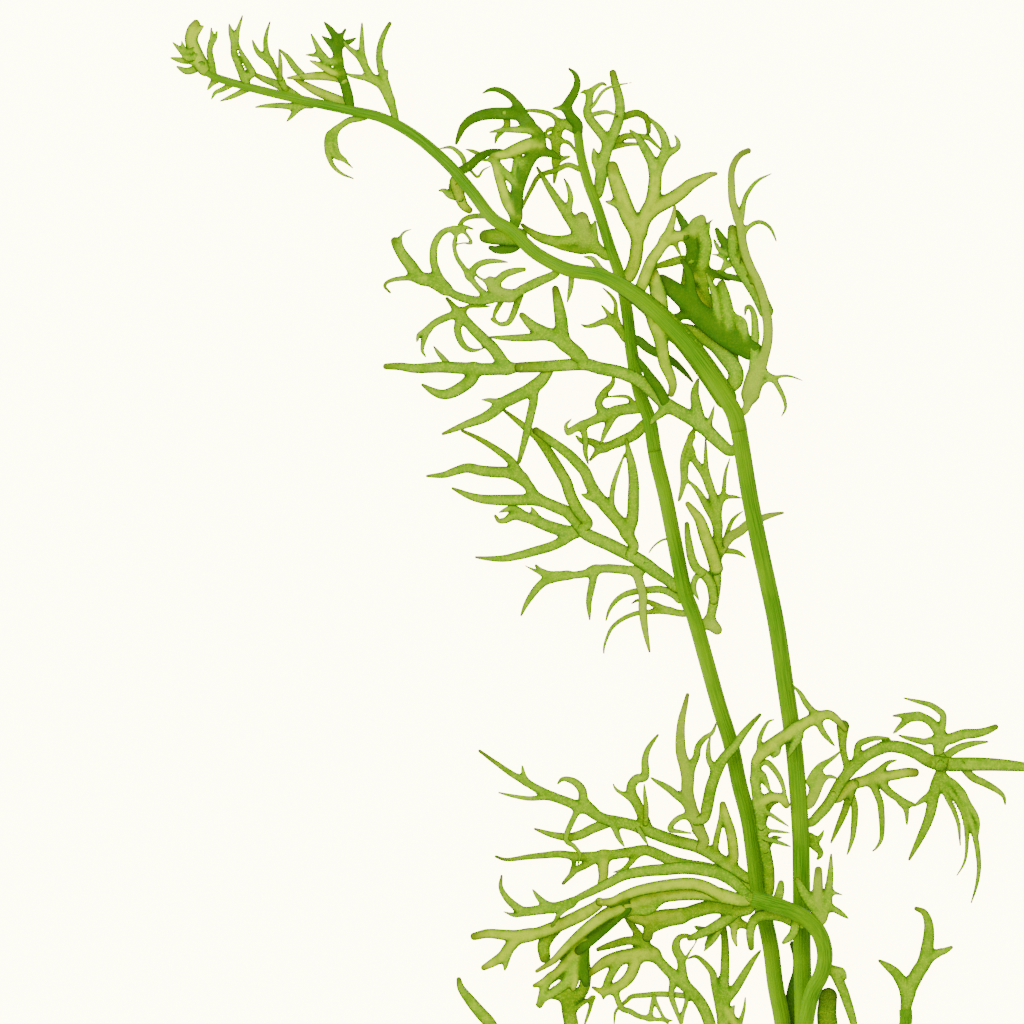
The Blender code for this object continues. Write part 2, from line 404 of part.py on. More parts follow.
def frond_2_middle_leaves():
    """The leaves along the middle of the second frond."""
    leaf("middle_upper_leaf", "frond_2_rachis",
         (10, 2.2, "160,153.9 158,153.8 154.5,153.3 151,152 148,150.7 145,149.5 142.8,148.5", .4),
         (9.6, 1.6, "151.2,152 149.6,155 151,157.8 153,160 153.4,162.5"),
         (10.4, .9, "144,149 142,147.6 141.4,149.6 142.9,151.3"),
         (8.6, 1.4, "154,153 151.5,148.5 150.5,146 150,145"),
         (9.8, .8, "158.6,154.6 157,156.6 154.5,156.9 151.8,156.7"),
         (8, 1.3, "145.6,149.7 146.3,146 146.3,143 147,140"))
    lobes("frond_2_rachis",
         (5.4, 2.2, "161,149.7 158.5,147.3 155,145.6 152,144.4 149.5,143.2 147.5,141"),
         (4.4, 1.6, "151,143.9 147.5,145.6 145.5,145.7 144,147"))
    leaf("long_left_leaf", "frond_2_stalk",
         (1.6, 2.6, "169.2,109.2 166.5,111.3 163.5,113.3 161,115.2 158,117 155,118.5 152,120 149,121.3 "
          "146.5,122.6 145,124.5 142,127.8 139.5,129 136.5,130.3 134,131.5 132.5,134 130.5,136.5 "
          "129,139 127.5,141 125,143 122,145 119,146.7 115.6,148.3"),
         (1.2, 2.2, "130.6,136.2 127,137.8 124,138 120.5,138.3 117,139 114,138.3 111,137.3 106.8,137"),
         (1.4, 2.2, "134.4,131.3 129,131 125,131 121,131.2 117.5,132 113.2,133.9"))
    leaf("long_left_side_leaf", "long_left_leaf",
         (1.4, 2.4, "144.4,122.9 141,123.3 137,124.5 134,125.8 131,126.8 128.5,127 126.5,126 124.8,125.8 "
          "123.8,127"),
         (2.4, 1.9, "143.4,122.9 141.4,121.2 138,119.5 134,118.3 130,117.2 126,116.4 122,116.4 119,116.7"),
         (2, 1.2, "134.6,125.6 133.5,128 132.8,129.2"),
         (2, 1.4, "131,126.9 129.6,128.4 127.6,128.9 125,128"))
    leaf("long_left_inner_leaf", "long_left_leaf",
         (9, 2.3, "147,125.2 144.8,128 143.2,130.8 142.3,133 141.5,135.5 139.8,138.5 138,141.5 136,144.5 "
          "134,147 131.5,149 129,151 125.5,153.8"))
    leaf("forked_middle_leaf", "long_left_leaf",
         (13, 2.4, "158.4,119.4 157.3,121.6 156,124 153.5,127 151,129.8 149,132.5 147.5,135 146.2,138 "
          "144.5,140 142,142.5 138,145.5 134,148.3", .6),
         (11, 1.4, "149.8,131.4 147.4,131.6 145.4,132.4"),
         (12, 1.1, "153,127.8 153.2,134.2 155.9,142.3"),
         (13, 2.3, "156.6,123 158,126 158.3,132 158.3,136 157.8,140 157,143.5 156.5,146", .3))
    leaf("lower_left_leaf", "long_left_leaf",
         (3, 1.8, "160.4,113.4 158.5,113.3 155,113.7 151.5,113.9 148,113.5 146.5,112.7 143,112.2 "
          "140,112.3 138,112.5 135.5,113.5 134,114.7"),
         (2.6, 1.7, "141.6,112.2 137,111 134.8,109.5 132.8,107 131.3,104.5 130.3,102.2"),
         (5, 1.5, "148.8,113.5 147.8,109 147.2,105.5 147.4,101.2"),
         (3, .7, "139,112.4 136.5,112.1 134,113.2 131.3,114.6"),
         (11.6, 1.8, "158.9,113.3 159.8,110.5 160.7,107 160.6,104 161,100 161.6,96.5 162.3,93.2"))
    lobes("frond_2_stalk",
         (6, 1.5, "169.8,106.1 168.5,107.3 165.5,108.6 162.5,108.6 159,108.2 156,107.3 153.7,105.6 "
          "152.2,103.3 151.5,101"))
    lobes("frond_2_stalk",
         (2.4, 1.4, "171.2,102.7 169,102.9 166,103.8 163.5,105 161,105.9 159.3,105.9 158,105.2"),
         (1.4, 1, "167.4,103.3 162,103 158.8,102.6 155.5,101.2 153,99.1 151.7,96.5 151,94 151,91.5"))
    leaf("middle_right_leaf", "frond_2_stalk",
         (12, 2, "177,100.4 178,104 178.5,107 178.9,110 179,114 179.2,118 179.3,122 179.2,126 "
          "178.4,131 177,135 175.5,138 173.5,141 172.5,144 172.6,147 173.8,149", .4),
         (9, 2.4, "176.9,100.6 178.2,99.6 179.2,98.6", .8),
         (13.4, 1.9, "178.6,106 177.6,110 175.8,112.5 174,114 172.8,116.5 172.2,119.5 171.8,122.3 "
          "171.6,125", .5),
         (12, 1.3, "175.6,112.6 173.8,111.5 173.3,109 174.5,106.2"),
         (14, 2.6, "178.9,114 177.6,118.4 176.2,122 174.8,126 173,128.5 171.8,130", .4),
         (12.8, 1.5, "178.9,124.6 177,128.6 174.5,133 172.8,135 171.5,136"),
         (13, 1.2, "173,143.2 171.5,141 171.2,137 170.6,134 169.8,131.4"),
         (12, 1, "177.4,134.4 176.4,140 176.3,147"),
         (12.4, 1, "179.3,127 180.6,132 181.2,137.5 182.3,141.3"),
         (8, 2, "179.2,116.8 181,120 182.5,121.8 185,123.3 187,125 190.5,126.5 193,127.3 195.6,127.8"),
         (8, 1, "180.6,119.6 182.5,125 184,127 185.6,128.2"),
         (8.6, 1.2, "180,118.6 184,118 186.3,116.7"),
         (13, .8, "173.2,146.6 172,145.6 170.8,143 170.3,140 170.5,135.4 170.2,133 169.5,130.5"),
         (11.4, .9, "180.6,131.7 183,131.8 185.2,131.5"))


def frond_1_low_leaves():
    """The side branch low on the right of the first frond, with its hanging leaves."""
    leaf("low_right_branch", "frond_1_stalk",
         (6, 2.1, "202.6,50.6 204.5,52.4 206.5,54.6 208,57 210,60.5 212,63 214.5,65.5 217,67.5 220,68.9 "
          "222.5,69.5 226,69 229,67.8 232,66 235,65", 1.3),
         (1, 2.7, "233.6,65.4 237,65 241,65 245,65 250,64.8 256,64.3 262,63.5", .3),
         (.6, 1.6, "240,64.8 243,61.8 246,60.3 249,58.6 250.8,57 251.3,55"),
         (3, 1.6, "235,66 238.5,68.5 241,69.6 244,70.3 246.8,70.6"),
         (7, 1.3, "212,63 211.2,66 210.6,69 210.5,72 210.6,74.5", 1.9),
         (8, 1.4, "214,65.2 214.4,69.6 216.5,71 219,71.6 222,71.6"))
    leaf("low_right_upper_leaf", "low_right_branch",
         (3, 2.2, "234.6,67.7 235.2,70.5 238,71.5 241,72.5 244,72.7 246.5,73.3 248.8,74.3", .5),
         (5, 1.4, "235,69.4 235.3,73 235.7,77 234.5,78.5 232.5,79.8 230,80.5 226,81.5"),
         (4, 1.8, "235.1,70.6 234.4,73 233,75.2 231.5,76.3 229.5,77 226,77.2 223.3,77.1"),
         (3.4, 1.4, "229.6,77 227,76.2 225,74.5 223.3,72.8"),
         (4, 1.4, "234.9,70.2 233,71 231,70.6 229,71 226.5,71.6 224.7,72.2"))
    leaf("low_right_yellow_leaf", "low_right_branch",
         (2.2, 2.2, "209.3,56.6 213,59.8 216,60.8 220,61.8 224,62.4 226.6,62.9 228.6,62.9", .8),
         (3.4, 1.3, "217,61 220,63.7 222,65.4 224,66"),
         (1.2, 1.6, "219.6,61.7 222,58.3 225,56 226.5,53.5 226.7,50"),
         (1.4, 1.3, "225.4,55.6 227.6,55 229,54.7"),
         (3, 1.6, "213.6,60 212,56 211,53 209.5,49.5 207.7,45.4"),
         (1.6, 1.4, "212.9,57.6 213.6,54 213.3,48 212.5,44.5 211.8,42.5"),
         (1, 1.4, "217.6,61.1 219.8,56 220.3,53 220.5,49 220.2,46 219,44 218.2,43.3"))
    leaf("low_right_hanging_leaf", "low_right_branch",
         (1.4, 2.2, "235,62.6 234,60.2 233.5,58 232.8,54 231.8,50.5 230,46.5 227.3,41.2"),
         (2.6, 1.3, "233.5,58 230.5,56 228.5,54.5"),
         (3, 1, "234.6,61.6 236.5,57 238.3,53.5 239.5,50 239.9,46 240,44.5"),
         (3.6, 1, "234.7,61.8 238,57.5 240,54.5 241.2,51 241.6,47.5 241.5,43 240.8,40 239,37"),
         (4.6, 1.5, "234.9,62.2 238.5,60 240.5,57.5 242,55 243.8,52.3 244.5,50 244.4,48"),
         (5.6, 1.2, "240.3,57.8 241.4,53.6 243.3,48.5 244.2,44 244.6,40 244.4,37 243.8,34 242.7,30.5"))
    lobes("frond_1_stalk",
         (12.6, 2.2, "202,55.4 203.5,58 204.4,60 205,62.5", .6),
         (12.8, 1.3, "203.2,57.6 203,61.6 204.5,64.6 206,65.6"),
         (11.6, 1, "204.4,60.4 207,62 209.5,61.4"),
         (13, 1.2, "202,60.8 203.6,63 206,65.2 208.4,67 210.2,68.6"))
    lobes("frond_1_stalk",
         (9, 1.9, "202.4,46.8 203.3,45 204.7,43.5 205,42.5 204.3,41.5", .3),
         (9.6, 1, "203.1,45.6 204.7,46.6 205.8,48.6"))
    leaf("inner_leaf_stem", "frond_2_stalk",
         (13.4, 2.2, "191.9,32.6 192.1,38 191.3,43 190.4,48 189.8,53 189,58 188.6,62 188.8,65.6", .8),
         (9, 1.6, "190.2,49.6 191.4,53.4 193,55.4 195.3,56"),
         (8.4, 1.3, "191.2,43.6 193,46.4 195.2,46.8"),
         (13, 1.5, "188.6,61 190.2,62.6 191.4,60.4 192.3,58.5"),
         (13.8, 1.2, "189,65 191.4,65.6 193.4,63.8 195,61.2 195.9,58.4 196.2,55.8"),
         (14.2, .9, "189.4,55.4 191,53.6 194,51.6 197,49.6"),
         (14.2, 2, "190,55.4 192.6,56.8 195,56.6 196.4,55", .7),
         (14.2, .8, "190.6,48.6 194,48.4 197.4,48"),
         (14.2, 1, "190.9,46.9 194.5,45.6 197.4,44.6"))
    leaf("front_yellow_leaf", "inner_leaf_stem",
         (17.4, 2.6, "189.6,67 192,69.3 196.5,72.5 200,74.8 204,76.8 207,77.5 209.5,75.7 211,73.8", .4),
         (19, 1.3, "204.2,77 201.5,80 199.8,82.8 198,84.8"),
         (16.6, 1.3, "203.6,76.8 205.5,73.2 207,71.3 208.3,69.8"),
         (17.4, 1.7, "199,74 199.5,72 198,69.5 196.8,67"),
         (16, 1.4, "193,70 194.2,68.4 193,66.8"),
         (15.4, 1, "190.3,67.8 189.6,71 191.5,75.3 193.5,76.4"))


def frond_2_low_leaves():
    """The leaves low on the left of the second frond."""
    leaf("low_left_branch", "frond_2_stalk",
         (.8, 2.4, "187.2,36.4 183.5,38.8 180.5,40.8 177.5,42.8 174,44.5 170.5,45.4 167,46.4 163.5,47.7 "
          "159,49.5 155,50.5 152,51 149.5,52 147.5,53.5 145.5,54 142,55.5 138,57 134,59 131.5,60.5 "
          "128,62.5 124,65.3 119.9,68.3"),
         (1.2, 1, "138.4,56.8 133,56.4 130,56.7 127,57.3 124.2,58"),
         (1.8, 1.8, "148,53.2 146,56 145.5,58.5 144,60.3 142,61.2 140.5,61.2 139.5,60.2"),
         (4.2, 1.2, "141.5,46.8 143.5,44.5 145,42.5 144.5,40"),
         (4.4, 1.3, "153,50.4 154.5,47 156,44.5"),
         (4.6, 1, "159.3,49.2 161,46.5 162,44.8"),
         (1, .9, "131.6,60.4 130.9,62.6 130.5,64.8"),
         (1, 1.9, "153,50.8 148,48.8 145.5,47.5 143,46.8 141,46.8 137.5,47.5 133.7,48.8"))
    leaf("low_left_under_leaf", "frond_2_stalk",
         (1, 2.2, "187.9,33.8 184,36 180,38.2 176,39.2 172,39.8 168,40.8 165,42.2 162,43.4 160,43.4 "
          "156,42.8 152,42.2 148,42 144,42 140,42.5 136,42.2 132,41.8 128,41.2 126,41.2 124,41.9"),
         (1.4, 1.4, "150,42.1 146.5,39.8 144,38.5 142.5,37 140.8,35.2", .5),
         (2, 2.2, "151,42.1 150.8,39.5 150.8,37 150,35", .5),
         (1.6, 1.2, "160,43.4 157.3,40 155.5,38.5 153.5,38"),
         (1.6, .7, "143.4,42.2 143.4,40.4 143,39 142.9,37.8"))
    lobes("low_left_branch",
         (6.4, 2, "161.4,50.2 160.3,52.8 159,55.5 158,57.5 157.8,59.5 159,61.3 161,61.8 161.3,63.5 "
          "161.2,66 161.8,68.5 163,70.5 164.4,72.3"),
         (5, .9, "158.8,56 155,58 153.8,59 153.2,60.3"))
    leaf("left_upright_leaf", "low_left_branch",
         (9, 2.5, "176,45.8 175,48 174.2,50 173.5,52 172.5,54.5 171.8,58 171.8,61 171.3,64 170.2,68 "
          "170,72 170.3,76 171,79 171.8,82.4", .3),
         (8.6, 1.5, "171.9,60 173,64.5 174,67 174.5,69.5 176,71.5 178,73 179,75.4"),
         (6, 1.6, "172.4,55 169.5,57 167,59 164,60.8 162.8,61.6"),
         (6.4, 1.2, "173.8,51.4 171,52 168.8,51 167.4,48.8 170,48.2 172.5,47.8"))
    leaf("right_upright_leaf", "left_upright_leaf",
         (12.4, 2.3, "176,51.6 176.8,55 177.6,59 178.4,61.5 179.4,64 181,66.8 183.3,69.3 185.5,72.5 "
          "188,75.5 189.8,77.4", .3),
         (11, 1.2, "178.9,63 177.2,66 177,69.5 177.5,72"))
    lobes("low_left_branch",
         (8.4, 2.1, "183.2,41.4 183.2,44 182.6,48 181.4,52 180.6,55", .6),
         (7.4, 1.3, "178.8,42.4 179,46 179.8,50 180.3,54"),
         (7.4, 1.1, "161.3,50.2 161.5,54 161.2,57 161,60"))


def frond_3_leaves():
    """The leaves of the third frond, the nearest to the eye, which bends left across both stalks."""
    leaf("upper_front_leaf", "frond_3_stalk",
         (15.4, 2.4, "185.6,33.6 183,36 180,37.8 176,38.8 171,39.3 166,38.9 161,38.5 156,37.5 152,35.5 "
          "148,33.5 144,31.5 141.5,29.5 139.3,27 138,24.8"),
         (13, 1.9, "142.6,30.4 138,29.3 134,28.7 131,28.5 128.5,30 126.5,32 125.2,34.5 125.4,37.3"),
         (12.6, 1.3, "138,29.3 135,31.5 133.2,33.8"),
         (12.4, .9, "131.6,28.6 129,27.4 126,28.3"))
    leaf("middle_front_leaf", "frond_3_stalk",
         (15.8, 3, "185.4,31.2 178,32.9 172,33.2 166,32.6 161,31.2 157,29.8 153,28.5 149,26 145,22.8 "
          "141,19 138,16 134.2,13.6", .25),
         (18.6, 2.4, "180,32.6 176,34.6 172,35.4 166,34.9 160,33.8 156,32.4 153,31 149.8,30.8", .6),
         (15, 2.2, "165,32.4 162,29 158,28.6 154,26.4"),
         (14, 3, "156,29.4 153.6,27.4 150.6,24.6 147.4,21.4 144.6,18.6", .5),
         (12.6, 2, "146.4,20.6 142,16 139,13 136,11 133.6,9.9", .4),
         (12.4, 2.2, "144.4,18 143,14 141.4,10.6 138.4,8.2 136,6.6 135,4.8", .4),
         (12.2, 1.5, "137.6,12.2 136,9.4 134.8,6.2 134.2,5.2"),
         (12.4, 2.1, "146,19.6 145.6,16 146,13 146.4,10.4", .6),
         (12, 1.8, "143.4,14.4 143.6,11.6 143.2,9", .5))
    leaf("front_end_leaf", "middle_front_leaf",
         (8.6, 2.5, "149,29.9 146,28 142,26 138,24.2 134,22.8 130,22.3 126,22.5 122,22.8 118.6,22.1", .6),
         (8, 2.3, "132,22.5 129.5,21.5 127.5,19.5 126,17.5 124,16 121,14.3", .5),
         (8.6, 1.4, "126.6,18.4 126.6,16.4 126.2,13.7"),
         (9.4, 2.6, "139,24.7 136.9,22 135.9,19.6 136.2,16.8", .8))
    leaf("lower_front_leaf", "frond_3_stalk",
         (10, 2.8, "186.6,29.2 182,29.4 178,29.6 174,28.6 170,27.2 166,25.8 162.5,24 161.8,22", .7),
         (10.6, 3, "170,27.4 166,27 162,26.4 158.6,27 156.4,28.2", .6),
         (11, 2.2, "184.6,29.2 182,26.8 178,24.2 175,22.7 172.3,21.7", .5),
         (11, 1.4, "180.4,25.8 178.6,22 176,18.6"),
         (12, 1.6, "184,28.6 183.4,25 183.4,22 184,19.8"),
         (10.6, 1.9, "181.4,26.4 178.6,24.2 177.6,22 176.4,20.2"),
         (10.6, 1.4, "177,23.8 175.4,23.8 173.6,24.6"),
         (12.4, 1.7, "183.6,25.6 186,25 188,23.6"))
    leaf("front_upright_leaf", "frond_3_stalk",
         (18.8, 2.1, "205.2,26.8 204.5,29 204.1,33 204.3,38.8", .7),
         (17.6, 1.6, "205.4,27.6 206.6,30 206.9,33.5 207.3,38 207.5,42.7"),
         (19.4, 2.3, "204.6,28 202.6,30.6 200.6,33.4 199,36.5", .4),
         (17, 1.3, "206.4,29.6 208.6,28.9 210,28 211.7,26.8"),
         (17.4, .9, "204.1,30.6 206.6,33 208,33.2 210.3,32.6"))
    lobes("frond_3_stalk",
         (18.4, 1.9, "194,31 194.7,33.4 195,35.6", .6),
         (14.6, 2.3, "199.6,25.4 195.6,27.2 191.6,27.6 188.6,26.6 187.4,23.4 187.6,19.4", .5),
         (20, 1.8, "198.8,25.8 198,23 195.6,20.8", .4))


def rootstock_leaves():
    """The short leaves and side leaves near the foot of the plant."""
    lobes("frond_3_stalk",
         (12, 2, "208.1,13.6 209.4,11.2 210.6,8.6 211.5,6 212.5,3 213.3,0 213.8,-4", .4),
         (14.4, 1.5, "208.4,13.2 210,13.6 211.3,11.9"))
    leaf("dark_sheath_leaf", "rootstock",
         (3.2, 4.4, "200.6,-13.2 199.4,-6 198.7,0 198.6,5 199,9 199.8,13 199.4,17 198.2,20", .3))
    leaf("short_blunt_leaf", "rootstock",
         (5, 4.2, "207.4,-12.6 207.2,-6 206.8,0 206.6,3 207,7", .8))
    leaf("fifth_frond_leaf", "frond_5_stalk",
         (2, 2.8, "226.6,5.2 227.2,8.6 229.5,13 231,15.5 231.9,20 232.2,23.5 231.9,26 230.9,28 229,28.9", .3),
         (2, 1.7, "231.1,15.8 234.5,17.8 236,18.3 237.8,19.2", .4),
         (2, 2.2, "227,7.4 224.5,12 222.5,14 219.8,15.9"))
    lobes("low_frond_stalk",
         (2, 2.4, "123.6,-1.6 122,0.8 120,3 117.5,6 115.3,9 114.7,11.2", .4))
    leaf("seventh_leaf", "low_frond_stalk",
         (3, 2.8, "144.6,-9.4 143.4,-4 142.8,0 142.1,4 142,8 142,11 142.3,15 143.5,19", .6),
         (5, 2.2, "142.2,6 145.6,8.4 146.5,12.5 146.3,15.5 146.5,19", .6),
         (3, 2.2, "142,10 141,13.4 138.5,12 136,10 133.5,9.8"),
         (2, 2.2, "142.2,7 138,7.6 136,6.5 134.9,4.8"),
         (3.4, .9, "142.4,3.4 144,4 146,5.5 148.5,6.8"),
         (3, .8, "148.3,6.5 147.5,4 146.5,1 145.8,-1"))
    leaf("eighth_leaf_right", "low_frond_stalk",
         (4.4, 2.1, "182.6,-15.6 181.4,-8 180.7,0 180.8,5 181,10 181.2,15 181.2,20 180.8,24.5", .6),
         (4.6, 1.8, "180.8,5.4 183.6,8.7 186,12.6 188,15.8 190,18.4"),
         (3.4, 1, "184.4,-1.6 185.2,1 186,4 186.3,6.8"),
         (3.6, 1.8, "181,4 183,1.4 184.6,-1.4", .6),
         (4, 1.4, "180.7,0 182.2,2.4 183.6,4.6"),
         (3.8, 1.6, "180.6,1 179.2,7 178.5,10.5 178,13 176,15.5 174,17 172,16.5"))
    leaf("eighth_leaf_left", "low_frond_stalk",
         (6.4, 2.4, "179.6,-15.2 178.4,-8 177.4,0 175,5.5 171,10 167,13.5 163,18 160,22 157.5,25.5 "
          "155.5,29", .4),
         (6.6, 1.7, "171,10 170.5,14 170,16.5 168.8,19 169.5,21.5 171.5,22.2 174,21.5"),
         (6, 1.7, "161,20.6 157,21 153,20 149.5,18.8", .5),
         (8, 2.8, "163.4,17.6 160,17.5 156,17 152,16 149.5,14.5 147.3,12.6", .4),
         (7, 1.7, "155.4,16.9 153,13 151.5,10 150.8,6.5"),
         (6.4, 2.3, "159.4,17.4 157.9,13 155.9,10.5 153,8.8 150.5,8.3 148.2,9.3"),
         (5, 1.2, "155.2,4.4 157.5,3.3 160,2 164,1.3 168,1"),
         (5, .9, "163.4,6.8 163.9,5.6 165.2,3 167,0"),
         (5, .9, "171.8,7.2 171.4,5 170.8,3 170.2,-1"),
         (6.6, .6, "169.4,20.4 171,16.6 172.6,18.6 174,20.7"),
         (4, 1.2, "174,6.6 170,7.3 165,7.6 161,7.3 158,7 156.5,5.8 155,4.5 153.8,3 153.5,0"),
         (5, 1.3, "168.4,12.4 167.8,7.5 168.8,4 170,0.5"))


def lay_roots():
    """A small tuft of roots at the foot of the rootstock."""
    leaf("roots", "rootstock",
         (1, 2, "200.6,-27 199.4,-30 200.6,-34 199,-39", .3),
         (.8, 1.3, "200,-29.4 203,-32 204.4,-35.4 207,-38", .4),
         (.8, 1.3, "199.8,-29 196.8,-31.6 196,-35 193.4,-37.4", .4),
         (1.4, 1.1, "200.4,-28.2 204.4,-29.6 208,-32.4 211.6,-33", .4))


def grow_plant():
    """Every stem and leaf, in the order in which each finds what carries it."""
    foot = smooth_path(numbers("201,-20,3 201,-19.8,3"))
    NODES["rootstock"] = [{"curve": foot, "half": np.full(len(foot), ROOTSTOCK_REACH), "round": True}]
    lay_stems()
    lay_roots()
    frond_1_end_leaves()
    frond_1_bend_leaves()
    frond_1_right_leaves()
    frond_2_top_leaves()
    frond_1_left_leaves()
    frond_2_middle_leaves()
    frond_1_low_leaves()
    frond_2_low_leaves()
    frond_3_leaves()
    rootstock_leaves()


def few_stations(curve, half):
    """The points of a smooth path that a faceted one needs, by halving where it strays."""
    ridge = np.column_stack([curve, half])
    kept = {0, len(curve) - 1}
    spans = [(0, len(curve) - 1)]
    while spans:
        low, high = spans.pop()
        if high - low < 2:
            continue
        chord = ridge[high] - ridge[low]
        offsets = ridge[low:high + 1] - ridge[low]
        shadow = np.clip(offsets @ chord / max(chord @ chord, 1e-9), 0, 1)
        stray = np.linalg.norm(offsets - shadow[:, None] * chord, axis=1)
        worst = int(np.argmax(stray))
        if stray[worst] > PATH_TOLERANCE:
            kept.add(low + worst)
            spans += [(low, low + worst), (low + worst, high)]
    return sorted(kept)


def directions(points):
    """The way that a path runs at each of its points."""
    ways = np.gradient(points, axis=0)
    return ways / np.linalg.norm(ways, axis=1)[:, None]


def bend_limit(points, half):
    """Half widths held under the path's own radius, so that the inner side of a bend doesn't fold."""
    limited = half.copy()
    for at in range(1, len(points) - 1):
        back = points[at, :2] - points[at - 1, :2]
        ahead = points[at + 1, :2] - points[at, :2]
        turn = abs(math.atan2(back[0] * ahead[1] - back[1] * ahead[0], back @ ahead))
        radius = min(np.linalg.norm(back), np.linalg.norm(ahead)) / max(2 * math.tan(turn / 2), 1e-3)
        limited[at] = max(0.25, min(limited[at], 0.9 * radius + 0.1))
    return limited


def section(stroke, reach, thickness):
    """Across and up from the path at each corner: a circle for a stem, a low roof for a leaf."""
    if stroke["round"]:
        turns = [math.tau * turn / STEM_SIDES for turn in range(STEM_SIDES)]
        return [(reach * math.cos(turn), reach * math.sin(turn)) for turn in turns]
    rise = min(thickness, 1.2 * reach) / 2
    return [(reach, -rise), (0, rise), (-reach, -rise)]


def strip_mesh(stroke, thickness):
    """A closed strip or tube of one stroke's section along its path."""
    kept = few_stations(stroke["curve"], stroke["half"])
    points = stroke["curve"][kept]
    half = stroke["half"][kept] if stroke["round"] else bend_limit(points, stroke["half"][kept])
    mesh = bmesh.new()
    rings = []
    for point, way, reach in zip(points, directions(points), half):
        across = np.cross([0, 0, 1], way)
        across = across / np.linalg.norm(across)
        above = np.cross(way, across)
        corners = section(stroke, reach, thickness)
        rings.append([mesh.verts.new(point + across * out + above * up) for out, up in corners])
    for ring, following in zip(rings, rings[1:]):
        for corner in range(len(ring)):
            beside = (corner + 1) % len(ring)
            mesh.faces.new([ring[corner], ring[beside], following[beside], following[corner]])
    mesh.faces.new(rings[0])
    mesh.faces.new(rings[-1])
    bmesh.ops.recalc_face_normals(mesh, faces=mesh.faces)
    bmesh.ops.triangulate(mesh, faces=mesh.faces)
    return mesh


def material(name, colour, roughness):
    """A plain coloured surface."""
    made = bpy.data.materials.new(name)
    made.use_nodes = True
    shader = made.node_tree.nodes["Principled BSDF"]
    shader.inputs["Base Color"].default_value = colour
    shader.inputs["Roughness"].default_value = roughness
    return made


def new_object(name, mesh):
    """A mesh in the scene under a name."""
    data = bpy.data.meshes.new(name)
    mesh.to_mesh(data)
    mesh.free()
    made = bpy.data.objects.new(name, data)
    bpy.context.scene.collection.objects.link(made)
    return made


def fuse(base, parts):
    """One body of a shape and the shapes that grow from it."""
    group = bpy.data.collections.new("parts")
    for part in parts:
        group.objects.link(part)
    if parts:
        union = base.modifiers.new("fuse", "BOOLEAN")
        union.operation = "UNION"
        union.operand_type = "COLLECTION"
        union.collection = group
        union.solver = "MANIFOLD"
    seen = base.evaluated_get(bpy.context.evaluated_depsgraph_get())
    fused = bpy.data.meshes.new_from_object(seen)
    base.modifiers.clear()
    base.data = fused
    for part in parts:
        bpy.data.objects.remove(part)
    bpy.data.collections.remove(group)


def finish_piece(piece, shift, surface):
    """Slivers merged, faces triangulated, and the board's millimetres turned into place in metres."""
    mesh = bmesh.new()
    mesh.from_mesh(piece.data)
    bmesh.ops.dissolve_limit(mesh, angle_limit=math.radians(FLAT_ANGLE), verts=mesh.verts, edges=mesh.edges)
    bmesh.ops.triangulate(mesh, faces=mesh.faces)
    for vertex in mesh.verts:
        vertex.co = (vertex.co + shift) * SCALE
    mesh.to_mesh(piece.data)
    mesh.free()
    piece.data.materials.clear()
    piece.data.materials.append(material(piece.name + "_surface", *surface))
    piece.data.shade_smooth()
    piece.data.set_sharp_from_angle(angle=math.radians(50))


def is_thread(stroke):
    """Whether a lobe is too fine and short to be part of the faceted solid."""
    length = np.linalg.norm(np.diff(stroke["curve"][:, :2], axis=0), axis=1).sum()
    return 2 * stroke["half"].max() < THREAD_WIDTH and length < THREAD_LENGTH


def grow_piece(name):
    """One named piece out of its strokes."""
    parts = []
    for number, stroke in enumerate(stroke for stroke in NODES[name] if not is_thread(stroke)):
        thickness = LEAF_THICKNESS - 0.03 * (number % 3)
        parts.append(new_object(f"{name}_{number}", strip_mesh(stroke, thickness)))
    base = parts.pop(0)
    base.name = name
    fuse(base, parts)
    return base


def make_rootstock():
    """The short thick rootstock, flattened where it rests."""
    mesh = bmesh.new()
    bmesh.ops.create_uvsphere(mesh, u_segments=14, v_segments=9, radius=1)
    for vertex in mesh.verts:
        lumps = 1 + 0.06 * math.sin(5 * vertex.co.x + 3 * vertex.co.y) * math.cos(4 * vertex.co.z)
        swollen = Vector(c * r * lumps for c, r in zip(vertex.co, ROOTSTOCK_RADII))
        vertex.co = swollen + Vector(ROOTSTOCK_CENTRE)
        vertex.co.z = max(vertex.co.z, 0)
    bmesh.ops.triangulate(mesh, faces=mesh.faces)
    return new_object("rootstock", mesh)


def piece_surface(name):
    """The colour and roughness of a piece."""
    if name == "roots":
        return ROOT_COLOUR, 0.7
    if NODES[name][0]["round"]:
        return STEM_COLOUR, 0.4
    return LEAF_COLOUR, 0.45


def main():
    """The whole plant, with its origin under the middle of its box."""
    for old in list(bpy.data.objects):
        bpy.data.objects.remove(old)
    grow_plant()
    pieces = [grow_piece(name) for name in NODES if name != "rootstock"]
    pieces.append(make_rootstock())
    corners = np.array([vertex.co for piece in pieces for vertex in piece.data.vertices])
    middle = (corners.min(axis=0) + corners.max(axis=0)) / 2
    shift = Vector((-middle[0], -middle[1], -corners[:, 2].min()))
    for piece in pieces:
        if piece.name == "rootstock":
            finish_piece(piece, shift, (ROOTSTOCK_COLOUR, 0.75))
        else:
            finish_piece(piece, shift, piece_surface(piece.name))


main()
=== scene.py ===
"""The looks of a water sprite: smooth forked leaves, ribbed stalks, procedural materials and a studio.

The plant is drawn on a board in millimetres, x to the right and y along the plant, and heights are
above the surface that it rests on. Each stroke is one lobe: the height of its tip, its width, and
points chosen along it. A letter before the points says how the lobe is tinted.
"""

import math

